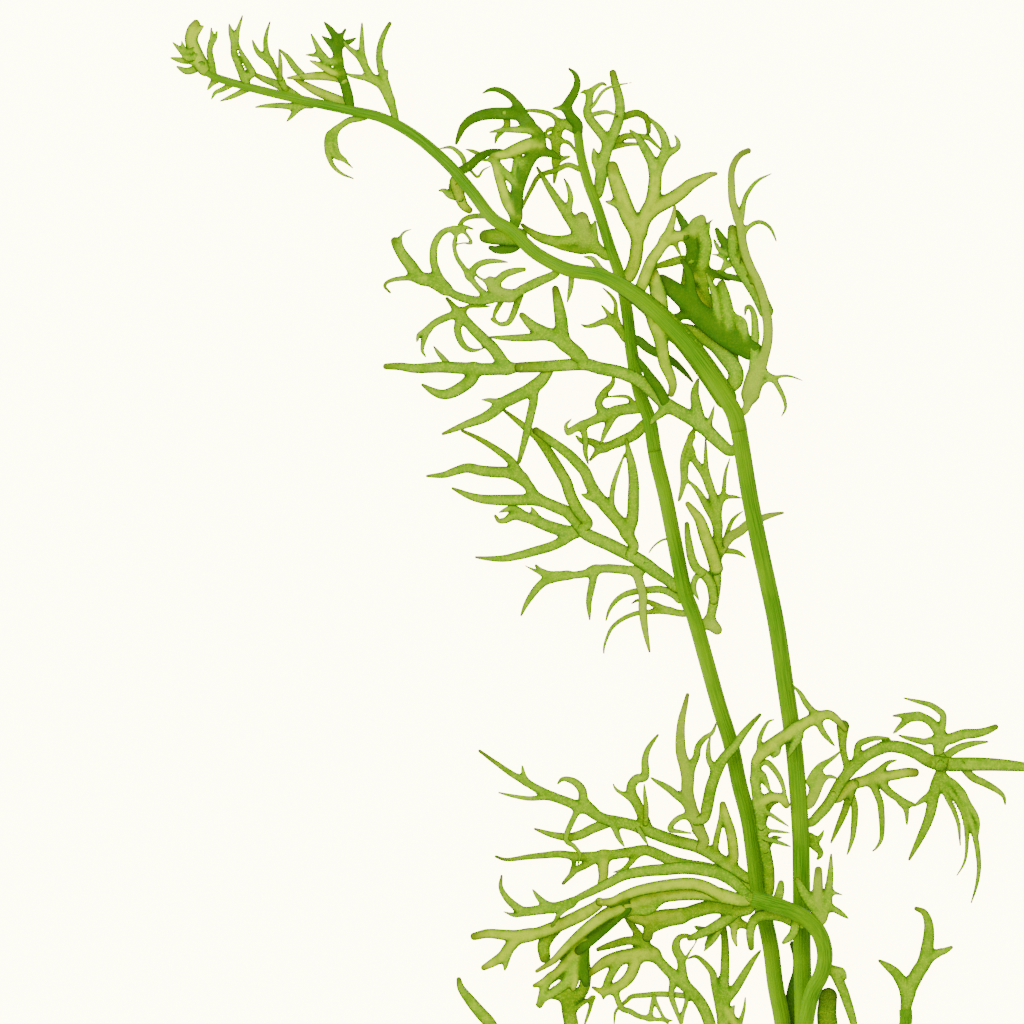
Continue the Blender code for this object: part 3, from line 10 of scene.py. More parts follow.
import bpy
import numpy as np
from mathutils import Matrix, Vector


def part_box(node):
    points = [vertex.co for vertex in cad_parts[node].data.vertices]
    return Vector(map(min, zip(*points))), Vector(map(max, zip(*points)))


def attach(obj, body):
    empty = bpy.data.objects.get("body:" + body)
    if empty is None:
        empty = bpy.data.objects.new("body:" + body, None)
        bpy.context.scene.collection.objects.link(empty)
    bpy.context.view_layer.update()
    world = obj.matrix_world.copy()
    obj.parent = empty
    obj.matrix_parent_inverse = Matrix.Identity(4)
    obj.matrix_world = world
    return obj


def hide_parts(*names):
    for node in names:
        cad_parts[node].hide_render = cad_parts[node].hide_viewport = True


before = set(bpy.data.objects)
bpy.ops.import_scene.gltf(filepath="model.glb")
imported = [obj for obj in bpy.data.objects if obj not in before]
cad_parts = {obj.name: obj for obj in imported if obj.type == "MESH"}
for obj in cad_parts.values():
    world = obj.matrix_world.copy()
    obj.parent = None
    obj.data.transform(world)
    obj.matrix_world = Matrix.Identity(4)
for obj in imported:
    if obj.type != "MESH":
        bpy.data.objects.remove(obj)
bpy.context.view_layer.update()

MM = 0.001
CURVE_STEP = 0.3               # mm between the points that a smooth path is read at
FULLNESS = 1.35                # whole width of a lobe, clear margin and all, to its drawn width
TIP_SHARE = 0.25               # width of a pointed tip as a share of the lobe's width
FOOT_SHARE = 0.75              # width of a leaf's foot as a share of the leaf's width
FOOT_REACH = 0.15              # share of a leaf's length over which it widens from its foot
ROOT_SNAP = 0.6                # mm within which a lobe's first point moves onto what carries it
TAPER_POWER = 3.0              # how late a lobe draws in towards its tip
STEM_OVERLAP = 1.4             # mm that a stem reaches back into what carries it
CELL = 0.3                     # mm between the points of a leaf's surface
HALF_THICKNESS = 0.36          # mm, half of a leaf's thickness along its midrib
RIM_RISE = 0.22                # mm that a lobe's margin stands above its midrib
RIPPLE = 0.12                  # mm that a blade waves up and down
REST_GAP = 0.02                # mm that a blade keeps above the surface that it rests on
FORK_BLEND = 1.1               # mm over which two lobes flow together at a fork
LAYER_STEP = 1.5               # mm of height between lobes that cross without growing together
STEM_SIDES = 20
STEM_RIBS = 5                  # shallow ribs round a stem
RIB_DEPTH = 0.035              # share of a stem's radius
CROSS_GAP = 0.2                # mm between margins at which two lobes count as crossing
ROOTSTOCK_REACH = 7.0          # mm from its middle to where leaves start
ROOTSTOCK_RINGS = 48
ROOTSTOCK_TURNS = 72
# The letter p marks lobes that are partly a paler underside and partly a painted wet glint.
TINTS = {"y": (1, 0, 0), "d": (0, 1, 0), "p": (0, 0, 1), "g": (0, 0, 0), "b": (0.2, 0.6, 0)}
WATCH_DISTANCE = 5.0           # m from the camera down to the plant
PHOTO_SIDE = 0.256             # m of the board that the photograph's side spans
PHOTO_MIDDLE = (128.0, 128.0)  # board mm at the middle of the photograph
SENSOR = 36.0                  # mm
LEAF_GREEN = (0.060, 0.240, 0.0, 1)
LEAF_LIME = (0.275, 0.490, 0.0, 1)
LEAF_YELLOW = (0.520, 0.670, 0.0, 1)
LEAF_DARK = (0.020, 0.115, 0.0, 1)
# Pale lobes: partly a paler underside and partly a painted wet glint.
LEAF_PALE_AND_GLINT = (0.400, 0.500, 0.030, 1)
LEAF_RIM = (0.028, 0.090, 0.0, 1)
LEAF_TIP = (0.035, 0.060, 0.006, 1)
STEM_GREEN = (0.060, 0.250, 0.0, 1)
STEM_LIME = (0.250, 0.480, 0.0, 1)
FLOOR_COLOUR = (0.98, 0.88, 0.50, 1)
FLOOR_REACH = 3.0              # m
FLOOR_GLOW = 13.0
GLOSS = 0.06                   # how strongly wet leaf and stem skins mirror the studio
SUBSURFACE_SHARE = 0.1
SUBSURFACE_SPREAD = (0.6, 1.0, 0.1)
WORLD_LEVEL = 1.05
WORLD_COLOUR = (1, 0.995, 0.97, 1)
KEY_PLACE = (-0.5, 0.7, 1.1)   # m
KEY_SIZE = 1.0                 # m
KEY_COLOUR = (1, 0.99, 0.95)
FILL_PLACE = (0.8, -0.3, 1.0)  # m
FILL_SIZE = 1.2                # m
FILL_COLOUR = (1, 1, 1)
ROOT_DARK = (0.16, 0.10, 0.04, 1)
ROOT_BRIGHT = (0.30, 0.20, 0.09, 1)
BARK_DARK = (0.07, 0.06, 0.02, 1)
BARK_BRIGHT = (0.18, 0.15, 0.05, 1)
KEY_POWER = 14.0               # W
FILL_POWER = 3.0               # W

NODES = {}                     # name: the strokes of one piece, in the order in which they grow


def numbers(text):
    """The points of one stroke, from 'x,y x,y' or 'x,y,z x,y,z', without its letter."""
    return [np.array([float(n) for n in point.split(",")]) for point in text.split() if point not in TINTS]


def tint_of(text):
    """How yellow, how dark and how pale a stroke is; pale is partly a paler underside and partly a painted
    wet glint.
    """
    return np.array(TINTS.get(text.split()[0], TINTS["g"]), dtype=float)


def smooth_path(points):
    """A Catmull-Rom curve through the points, read every CURVE_STEP."""
    points = np.array(points)
    if len(points) == 2:
        points = np.array([points[0], points.mean(axis=0), points[1]])
    ends = np.vstack([2 * points[0] - points[1], points, 2 * points[-1] - points[-2]])
    curve = []
    for before, start, end, after in zip(ends, ends[1:], ends[2:], ends[3:]):
        steps = max(2, int(np.linalg.norm(end - start) / CURVE_STEP))
        for t in np.arange(steps) / steps:
            curve.append(0.5 * (2 * start + (end - before) * t
                                + (2 * before - 5 * start + 4 * end - after) * t ** 2
                                + (3 * start - before - 3 * end + after) * t ** 3))
    curve.append(points[-1])
    return np.array(curve)


def shares(curve):
    """How far along its curve each point lies, from 0 to 1."""
    lengths = np.linalg.norm(np.diff(curve[:, :2], axis=0), axis=1)
    run = np.concatenate([[0], np.cumsum(lengths)])
    return run / run[-1]


def nearest_on(name, place):
    """The point of a piece's strokes whose margin is nearest to a place on the board."""
    best = None
    for stroke in NODES[name]:
        reach = np.linalg.norm(stroke["curve"][:, :2] - place, axis=1) - stroke["half"]
        at = int(np.argmin(reach))
        if best is None or reach[at] < best[0]:
            best = (reach[at], stroke["curve"][at])
    return best[1]


def half_widths(along, width, tip_share, foot_share):
    """Half the lobe's width along it: full above the foot, and drawn in towards the tip."""
    to_tip = along ** TAPER_POWER
    foot = foot_share + (1 - foot_share) * np.clip(along / FOOT_REACH, 0, 1)
    return FULLNESS * width / 2 * foot * (1 - to_tip + tip_share * to_tip)


def lobe_stroke(root, points, tip_height, width, text, tip_share, foot_share):
    """One flat lobe that starts at its root's height and levels out at the height of its tip."""
    curve = smooth_path(points)
    along = shares(curve)
    heights = root[2] + (tip_height - root[2]) * (1 - (1 - along) ** 2)
    return {"curve": np.column_stack([curve, heights]), "round": False, "tint": tint_of(text),
            "half": half_widths(along, width, tip_share, foot_share)}


def add_lobe(name, tip_height, width, text, tip_share=TIP_SHARE):
    """One lobe that grows out of the nearest stroke of its own piece."""
    points = numbers(text)
    root = nearest_on(name, points[0])
    if np.linalg.norm(root[:2] - points[0]) > ROOT_SNAP:
        points = [root[:2]] + points
    else:
        points[0] = root[:2]
    NODES[name].append(lobe_stroke(root, points, tip_height, width, text, tip_share, 1.0))


def leaf(name, carrier, first_lobe, *lobes_after):
    """A leaf whose first lobe comes out of its carrier, at its height, with its other lobes on it."""
    tip_height, width, text = first_lobe[:3]
    tip_share = first_lobe[3] if len(first_lobe) > 3 else TIP_SHARE
    points = numbers(text)
    root = nearest_on(carrier, points[0])
    points = [root[:2]] + points
    NODES[name] = [lobe_stroke(root, points, tip_height, width, text, tip_share, FOOT_SHARE)]
    lobes(name, *lobes_after)


def lobes(name, *strokes):
    """More lobes on a piece that is already there."""
    for stroke in strokes:
        add_lobe(name, *stroke)


def stem(name, foot_width, end_width, text, *side_lobes):
    """A round stem along points with heights, tapered evenly from foot to end, and small lobes on it."""
    curve = smooth_path(numbers(text))
    half = (foot_width + (end_width - foot_width) * shares(curve)) / 2
    NODES[name] = [{"curve": curve, "half": half, "round": True, "tint": np.zeros(3)}]
    lobes(name, *side_lobes)


def lay_stems():
    """The stalks and the ribs that carry the leaves, from the rootstock outwards: x, y, height."""
    stem("frond_1_stalk", 4.6, 4.3,
         "199.4,-12,7.6 200.2,-6,8.4 200.8,0,9 200.4,20,9.6 200.2,40,10.4 199.9,50,11 198.5,68,12.4 "
         "196,86,14.2 193.9,100,16 191.8,110,17.6 189.6,120,19.4 187.2,132,22 185.2,144,24.6 184.3,149,25.4")
    stem("frond_1_rachis", 4.5, 2,
         "184.2,149.4,25.4 183.5,152,25.9 182,155,26.2 177,162.5,26.8 171.5,169.8,27 165,176.5,27 "
         "158,182.5,27 150,186.8,26 142,188.3,24.6 134,192.4,22.8 128,198,21.4 123,201.3,20 118,207.8,17.2 "
         "112,214.8,14.6 104,221.7,12.4 96,226.2,10.4 88,228.2,8.8 80,229.9,7.6 70,232.2,6.2 "
         "62,234.2,5 54,236.6,3.9 51.6,238.2,3.5",
         (26, 4.2, "181.4,156.6 176.4,163.4 170.8,170.8 164.6,177 158,182.4 151,186.6", .6),
         (5, 1.1, "122.6,201.6 119.5,201.8 117.5,201.6 115.8,200.8 114.8,199.3 114.2,197.5 114.2,195.5"),
         (3, 1.2, "64,233.7 62,233.6 58.5,232 55.2,230.7"),
         (2.4, 1.1, "59,235 58,234.8 55.5,233.5 53.9,232.8 52.9,231.2"),
         (2, 1.1, "55,236.3 53,235 51.9,233.5"),
         (5.5, 1.4, "53.6,236.8 53,240 52.5,243 53,246 52.9,248.8"),
         (5.5, .6, "53,245 54,246.2 54.4,248.5"),
         (3.2, 1.8, "75,231 70,234.5 66,236.2 62.5,238"),
         (23.8, 1.4, "151,186.5 149.5,189 148,191 146,191.5"),
         (23, 1.2, "142.9,188.2 142.8,186.5 142.6,184 142.2,182 141.8,180.3"))
    stem("frond_2_stalk", 4.3, 3.8,
         "194.4,-13,5.2 195.2,-6,5.6 195.6,0,6 193.8,10,6 192.5,20,6 189.5,34,6 187.3,50,6 184.8,60,6.3 "
         "182.7,70,6.6 179.6,80,7 176.8,90,7.4 173.4,102,8 171.2,108,8.3 168.7,120,9 "
         "166.3,132,10 164.3,140,10.8 163.5,144,11.1",
         (8.4, .5, "168.4,121.3 166.9,121.3 165.3,120.9 163.5,119.6 162.3,118 161.8,116.4"))
    stem("frond_2_rachis", 3.7, 2.4,
         "163.4,144.4,11.1 162.3,151,11.6 159.8,158,12 157.9,168,12 156.7,178,12 155,186.5,11.8 "
         "152.3,194.5,11 149.5,203.5,10 147,210,9.2 145.2,217,8.6 144.4,223,8.1")
    stem("frond_3_stalk", 4, 4.2,
         "203.4,-13,11.6 202.2,-6,14 201.3,0,15 202.8,8,15.6 205.2,13,16 206,18,16.4 "
         "204.6,23,17 201.5,26.6,17.6 196,29.3,18 190,31.2,18 187.4,31.8,18")
    stem("frond_5_stalk", 3, 3.4,
         "209.4,-17,4 215,-12.5,3 221,-7,2.4 226,-1,2.2 226.4,4,2.2")
    stem("low_frond_stalk", 2.8, 2,
         "191.5,-20,4 181,-17,2.6 170,-15.5,2.2 158,-13.4,2.2 146,-11,2.2 134,-7,2.2 124.6,-2.4,2")


def frond_1_end_leaves():
    """The thin forked leaves at the far end of the first frond."""
    leaf("end_leaf", "frond_1_rachis",
         (.6, 2.8, "y 51,238.6 50,240.5 48.8,243 47.8,246 48,248.5 49,250.2", .5),
         (.6, 1.4, "y 48.2,246.5 49.6,248.4 50.8,249.4"),
         (.6, 1.6, "50.4,239.4 47,238.2 44.3,239.3"),
         (.6, 1.5, "50,240.4 48,240.8 45.5,240.9 42.8,241.5"),
         (2.6, 1.2, "49.3,241.9 47,241.4 45.5,243 43.3,245.3"),
         (3.4, 1, "48.6,243.5 46.8,243 46,244 45.5,245.6"))
    leaf("crest_leaf", "frond_1_rachis",
         (12.5, 1.6, "99,225.8 98,229.5 97.2,232 96.8,234 96,236.5 95.2,239 94.9,242 95.2,244.5 "
          "96,247 97.5,249.8", .5),
         (12.8, .7, "95.9,236.8 96.5,237.3 97.1,238.1"),
         (14.5, 1.6, "97.6,231 96.3,233 95,234.7 93,236.4 92,238 91,240 90.6,243 90.6,249.8"),
         (13.6, 1.2, "94,235.5 91,236.3 88,236.8 86.5,237.5"),
         (13.4, 1.2, "91,240.5 89,242.3 87,244 86,245.5"))
    leaf("dark_end_leaf", "frond_1_rachis",
         (9.4, 2, "d 87.6,229.4 86.5,234 85.2,238 84.6,242 84.5,245 86.4,248.4"),
         (9.4, 1.3, "d 84.6,244 87,245.2 89,246.2"),
         (9, 1.4, "d 84.4,242.6 82.8,244.8 80.7,246.7"),
         (9.4, 1.4, "d 84.6,245.5 83,248 81.2,250.2"),
         (8.6, 1.4, "84.7,240.4 82,240.6 80,243 77.9,247.2"),
         (8.6, .8, "81,241.6 79.5,242 76.4,242.1"),
         (8.8, 1.4, "y 85.4,237.4 83,237.8 80,239.5 77.7,240.6"),
         (5.2, 1.8, "y 85.8,235.8 84,236.5 80,236.9 76,236.7 72,236.4"),
         (4.6, 1.4, "76,236.8 73.8,239 72,241.5 70,243.5"))
    lobes("frond_1_rachis",
         (3.2, 2, "y 86.3,230 82,231.9 78.5,233.5 75,235.5 73,236.6"))
    leaf("upright_end_leaf", "frond_1_rachis",
         (11, 1.4, "72,232.6 71,234.5 70,236.5 68.5,239 67,242 66.5,245 66.8,247.5 67.6,250.2"),
         (11, 1.1, "67.6,240.6 65.2,242 63.9,244 63.2,245.9"),
         (12, 1, "70.2,236.4 70.2,240 69.9,243.5"))
    leaf("outer_upright_end_leaf", "frond_1_rachis",
         (8, 1.4, "61.9,235 60.3,238 59.5,240 58.5,243 59.3,246.5 59.5,248 60.7,251.8"),
         (7, 1.4, "61,236.6 63.2,237.4 62.5,239 60.8,242 60,244"),
         (7, 1.2, "58.7,244.6 58,247 57.4,249.8"))
    leaf("hooked_end_leaf", "frond_1_rachis",
         (5, 1.3, "91.6,226.6 90,226.2 87.5,225.8 85.5,224.6 84,223.4 82.5,222.2 81.8,220.5 82,217.5 "
          "83.3,214.5 85.5,212.5 88.3,211.3"),
         (7.4, 1, "84,223.4 83.9,221 84.3,218.5 85.3,216.7 88.2,213.9"),
         (6, 1, "82.6,222 83,218.6 84.3,216.5 86.3,216"))
    lobes("frond_1_rachis",
         (5, 1.4, "78,229.6 76,229.6 74,229.2 70,229.5 66,229.4 64,229.1"),
         (5, 1.1, "75,229.4 73.5,227.5 71.8,225.6"))


def frond_1_bend_leaves():
    """The leaves where the first frond bends over to the left."""
    leaf("bend_right_leaf", "frond_1_rachis",
         (10.5, 1.8, "d 114.9,212.9 117.3,214.2 119.5,216.2 122,217.6 125,218.1 126.5,217.9"),
         (9, 1, "116.4,213.9 115.6,216.6 113,218.9 110,218.7"),
         (9.6, .9, "120.5,217 118.2,218 116.5,218.5"),
         (9, .6, "117,214 119.3,211.6 120.8,213.3 123,214.5"))
    leaf("bend_left_leaf", "frond_1_rachis",
         (11, 2.3, "y 113.9,210.4 114.4,208.4 115.2,206 116,204.4 117.3,203.3", .6),
         (10, 1.4, "115,206.3 112.5,207 111,208.2 109.8,208.2"),
         (10, .9, "113.9,210 112.7,209.5 113.3,207.5"))
    lobes("frond_1_rachis",
         (20.5, 3.4, "b 129.6,196.4 127,196.6 124,196.6 121.5,196.6", .75),
         (19.6, 2.2, "d 129.6,195.4 128,193.9 124.5,193.3 122.6,193.8", .4))
    leaf("dark_crossing_leaf", "frond_1_rachis",
         (18, 2.4, "d 128.8,200 129.1,204 129.4,208 130.5,211.5 132,215 134,218 135,220.5 134.8,222 "
          "133,223.9 131.5,225.5 130.5,227.5 129.5,229", .6),
         (17, 1.4, "d 129.9,228.2 128.8,230.2 127,232 124.5,233.2 122.5,233.2 120.8,232.4"),
         (14.8, 2.4, "d 132,225.2 129.5,227 126,227.3 122,227.2 118.5,226.2 116,224.2 "
          "114.8,221.8 114.1,219.9"),
         (13.6, 1.4, "126.5,227 126.8,224.5 125.5,223 124.3,221.6 123.8,220"),
         (18.4, 1.4, "134,222.8 130,223.2 126,223.2 122.5,222.6"),
         (19.4, 2.6, "y 134,219.5 132,219.4 129,218.2 126,217 123.2,216.8", .4),
         (17.6, 1.2, "132.2,215 131,215.3 129.8,215.4"),
         (18.6, 1.4, "131.2,213.4 129.5,215.6 128.6,213.5 129,211"),
         (18.4, 1.4, "129.6,208.8 127,211.8 125,214 123.2,215.6 120.5,215.6"),
         (18.6, 2, "y 128.9,201.6 126.8,205 125.5,209 124.5,212 123.6,215", .6),
         (17, 1.8, "d 134,217.6 136,217.6 138,217.2 140,216"))


def frond_1_right_leaves():
    """The dense leaf on the right of the first frond's bend and what grows from it."""
    leaf("right_leaf", "frond_1_rachis",
         (22, 1.9, "p 186,153.4 187.5,158 189,162.5 190.5,166 191.5,170 191.7,174 191.2,178 190.3,182 "
          "189,185.5 187.5,188.5 186.3,191.5 185.5,194.5 185,198 184.5,200 183.5,203 182.8,206 "
          "182.6,210 182.7,213 183.7,215.6 185.2,217.2 186.8,217.9", .6),
         (24, 3.6, "p 187.2,157.5 188,160 189,163.5 190,166", .5),
         (21, 1, "185.2,201.4 185.8,205.5 187.2,208.3 189.3,210.6 192.5,212.2"),
         (21, .9, "185.2,197 187,199 188.8,200.1 190.5,200 192.2,198.8 193.2,197 193.9,195"),
         (22.6, 1.7, "g 188.8,163.5 188.2,165 188.3,169 188.5,173 188.2,177 187.3,179 186.3,178.9 186,177.2"),
         (20.5, 2.8, "191,178 189.3,182 187,185.7 184.8,189 183.3,192.5 182.9,196 182.8,198.5", .6),
         (19.6, 1.4, "d 187,185.6 183.5,186.3 181,187 179,188"),
         (19.4, 1.8, "d 183.6,192 182,194 180.3,196 179,198.3", .5),
         (19.4, 1, "183.4,191.8 181,192.5 179.3,193.7 178.2,195.8"),
         (19.8, .8, "184,190 181,189.2 181,190.8 179.5,191.8 177.8,192.2"),
         (26, .7, "188.4,159 189.3,159.7 191.5,160.7 194,161.6 197,161.8 200.5,160.6"),
         (20, .7, "183.6,191 181.4,189.4 180.3,188.3 179.3,187.8"),
         (26, 1.1, "189.6,163.4 192.5,161.5 194.3,159 195.7,156 196,153.8 195.1,151.9"))
    leaf("dark_diagonal_leaf", "right_leaf",
         (22.4, 4.5, "d 187.2,168.2 185,169.8 181,172.2 177.5,174.8 174,177.8 171,181 168,183.5 "
          "165.3,185.4", .6),
         (22.4, 2, "d 174,178.4 172.6,183 172,187.4 170.4,190.6", .4),
         (22.6, 1.8, "179.5,174.2 179,179 178.2,183 176.4,187.4"),
         (21.6, 1, "186.2,169.4 186,175 184,176.8 182.5,177.5"),
         (21.4, 2.5, "g 181.4,173 181.8,176.5 181.2,180.5 180.2,184.8", .6),
         (21.6, 2, "g 185.6,170.4 185.2,173 184.2,175.6", .7),
         (21, 1.7, "d 172.8,178 169.6,176.6 166.6,176 164.6,175.2", .6))
    leaf("strip_leaf", "frond_1_rachis",
         (20, 3, "g 182.4,159.4 183.6,161 183.4,163.5 181,166.8 179,169.2 176.5,171 173,172.9 169.5,173.8 "
          "166,174.2", .6),
         (21.2, 2, "183.6,161.4 183.4,165 182.8,168 182.2,171.2", .7))
    leaf("yellow_fork_leaf", "frond_1_rachis",
         (22, 2.4, "y 160.2,184.2 162.5,190 164.3,192.8 166,195.3 167.3,198.5 168.2,201.5 168.5,204", .25),
         (21, 2.2, "y 166.3,195.4 169,196.6 171.5,197 174,198.5", .6),
         (19.6, 1.8, "d 171,197 171,199 170,201 169.2,203", .3),
         (20.4, 2.4, "p 172.6,197.4 174,199.5 175.2,201", .7),
         (20, .9, "168,196.2 168.8,194.5 169.5,193 170.2,191.5"),
         (20, .8, "173,198 176.4,198.3 177.2,200 178,200.8"),
         (17.8, 2.3, "d 172,197.4 172.8,193 172.2,189 171.6,185 171.2,181 171,177", .6),
         (18.2, 2.5, "174.6,199 176.2,195 175.8,191 175.2,187 176,183 177.4,179.5", .5),
         (17.8, 1.7, "172.4,191 170,190.8 167,190 164,189.2", .6),
         (17.4, 1.8, "d 172.4,188.4 176,188 179,187.2 182,186.2", .6),
         (17.6, 1.8, "y 171.8,186.6 175,186.4 177.4,185.8", .7),
         (17.4, 2, "y 171.6,184.4 173.6,182.6 175.2,180.6 176.8,178.4", .7))


def frond_2_top_leaves():
    """The leaves at the upper end of the second frond, which lies under the first."""
    lobes("frond_2_rachis",
         (11, 1.1, "145,213.5 142,214.6 139,213.3 136,212.4 134.3,211.3 133,209 131.3,205.7 130,202.8", .5))
    leaf("top_left_leaf", "frond_2_rachis",
         (3.6, 2.1, "141.4,224.9 139.8,224 139,221.5 139,218 138.9,215 138.8,212.5 138.5,210.3"),
         (9, 1, "139.9,224.4 138.6,226.6 136,227.8 132,228.2 129,227.5"),
         (3, 1.1, "139.6,223.6 137.4,223.6 136.2,222.5"),
         (5.4, .9, "139.4,220.8 142,220.3 143.5,218.6 144,217.5"),
         (5, .9, "135.5,222 137.5,221.7 139.6,220.4"),
         (5, 1, "139,215.6 141,216.4 142.6,216.8"))
    lobes("frond_2_rachis",
         (8.6, 2, "d 144.3,224.8 142.5,227 141.8,229.4 143.5,232.5 144.3,235 143.8,237.2 142.3,238.6", .25),
         (7.6, 1, "b 142,229 140,228.9 138,228.7"))
    leaf("top_right_leaf", "frond_2_rachis",
         (4.6, 2.3, "149.4,207.4 150,210.4 150.6,214 151.2,217 152.2,220 153.6,223 154.6,226 155,229 "
          "154.6,232 153.8,235 153.2,237.6", .6),
         (6.4, 1.9, "151.9,220 149.5,223.5 147.5,226 146.8,228 147.2,230 147.5,232.5 148.8,234 "
          "150.5,235 151.4,234.6"),
         (6.4, .8, "147.4,232.4 146.2,233 145,232.6"),
         (7.4, .7, "147.2,228.6 148.3,229.5 150.6,232.9 153.3,234.3 157.8,235.2"),
         (.55, 1.5, "b 154.6,226.4 158.5,227.6 160.5,227.3 161.8,226 162.2,223.2", .6),
         (.6, 1.3, "152,219 155,221.3 157,222 160,221.9 162.3,221.3 164,219.8 165.6,218.2"),
         (6.6, 1, "147,227 150,227.7 152,227.8 154.4,226.8"),
         (1.6, .9, "151.9,218.4 155.3,219.5 157.5,219.9 160,219.8 162.2,219"),
         (6, 1.7, "150.4,213.2 148.9,215.4 148.4,218.6", .3))
    leaf("yellow_forked_leaf", "frond_2_rachis",
         (13.6, 2.6, "y 157,186.8 158.3,189.4 158.9,192 159.3,196 159.6,200", .9),
         (13, 3.3, "y 159,198 157.5,201 156,204.5 154.8,208 153.6,211.5 153,214", .7),
         (12, 1.4, "155.6,204.6 153.6,205 151.4,205.4"),
         (12.4, 2.8, "y 159.5,198 161,201 162.3,203.5 163.3,207 163.7,211 163.8,214", .8),
         (10.4, 2, "163.8,213 162.3,216.5 160.8,219.2 159.3,221.5 157.5,223.2"),
         (9, 1.9, "163.9,213 165.4,215.5 166.3,219 165.8,221.8 164.5,224 162,226.5"),
         (9.6, 1.3, "165.6,216.6 168.5,218.3 169.5,219.3 169.3,220.8 168.6,222"),
         (11, 2.8, "y 162,202.8 165,204.6 168,206.2 170.5,208 172.5,209.7 175,211 177,212 178.9,212.4"))
    leaf("knotted_leaf", "frond_2_rachis",
         (14, 2.2, "151.6,191.9 149.6,193.4 147.6,194.8 146,196 144,198.6 141.5,202.5 139.5,205.5 "
          "137.5,208.5 135.8,211.3 134.3,213.8"),
         (13.6, 1.2, "141.9,202 142.6,206 142,209 141,211.1"),
         (13.8, 2.3, "145.6,196.4 142.6,195.8 139,195.5 135,196.5 132,198.3 130.6,199.6", .3),
         (13, 3.2, "p 146.4,196 145.7,198 145.5,200 145.4,201.2", .8),
         (12.6, 1.6, "148.6,194.4 148.5,198 148.7,200.5"),
         (12.8, 1.5, "b 148.4,194 146,193.2 143,193.5 140,194 138.5,195"))


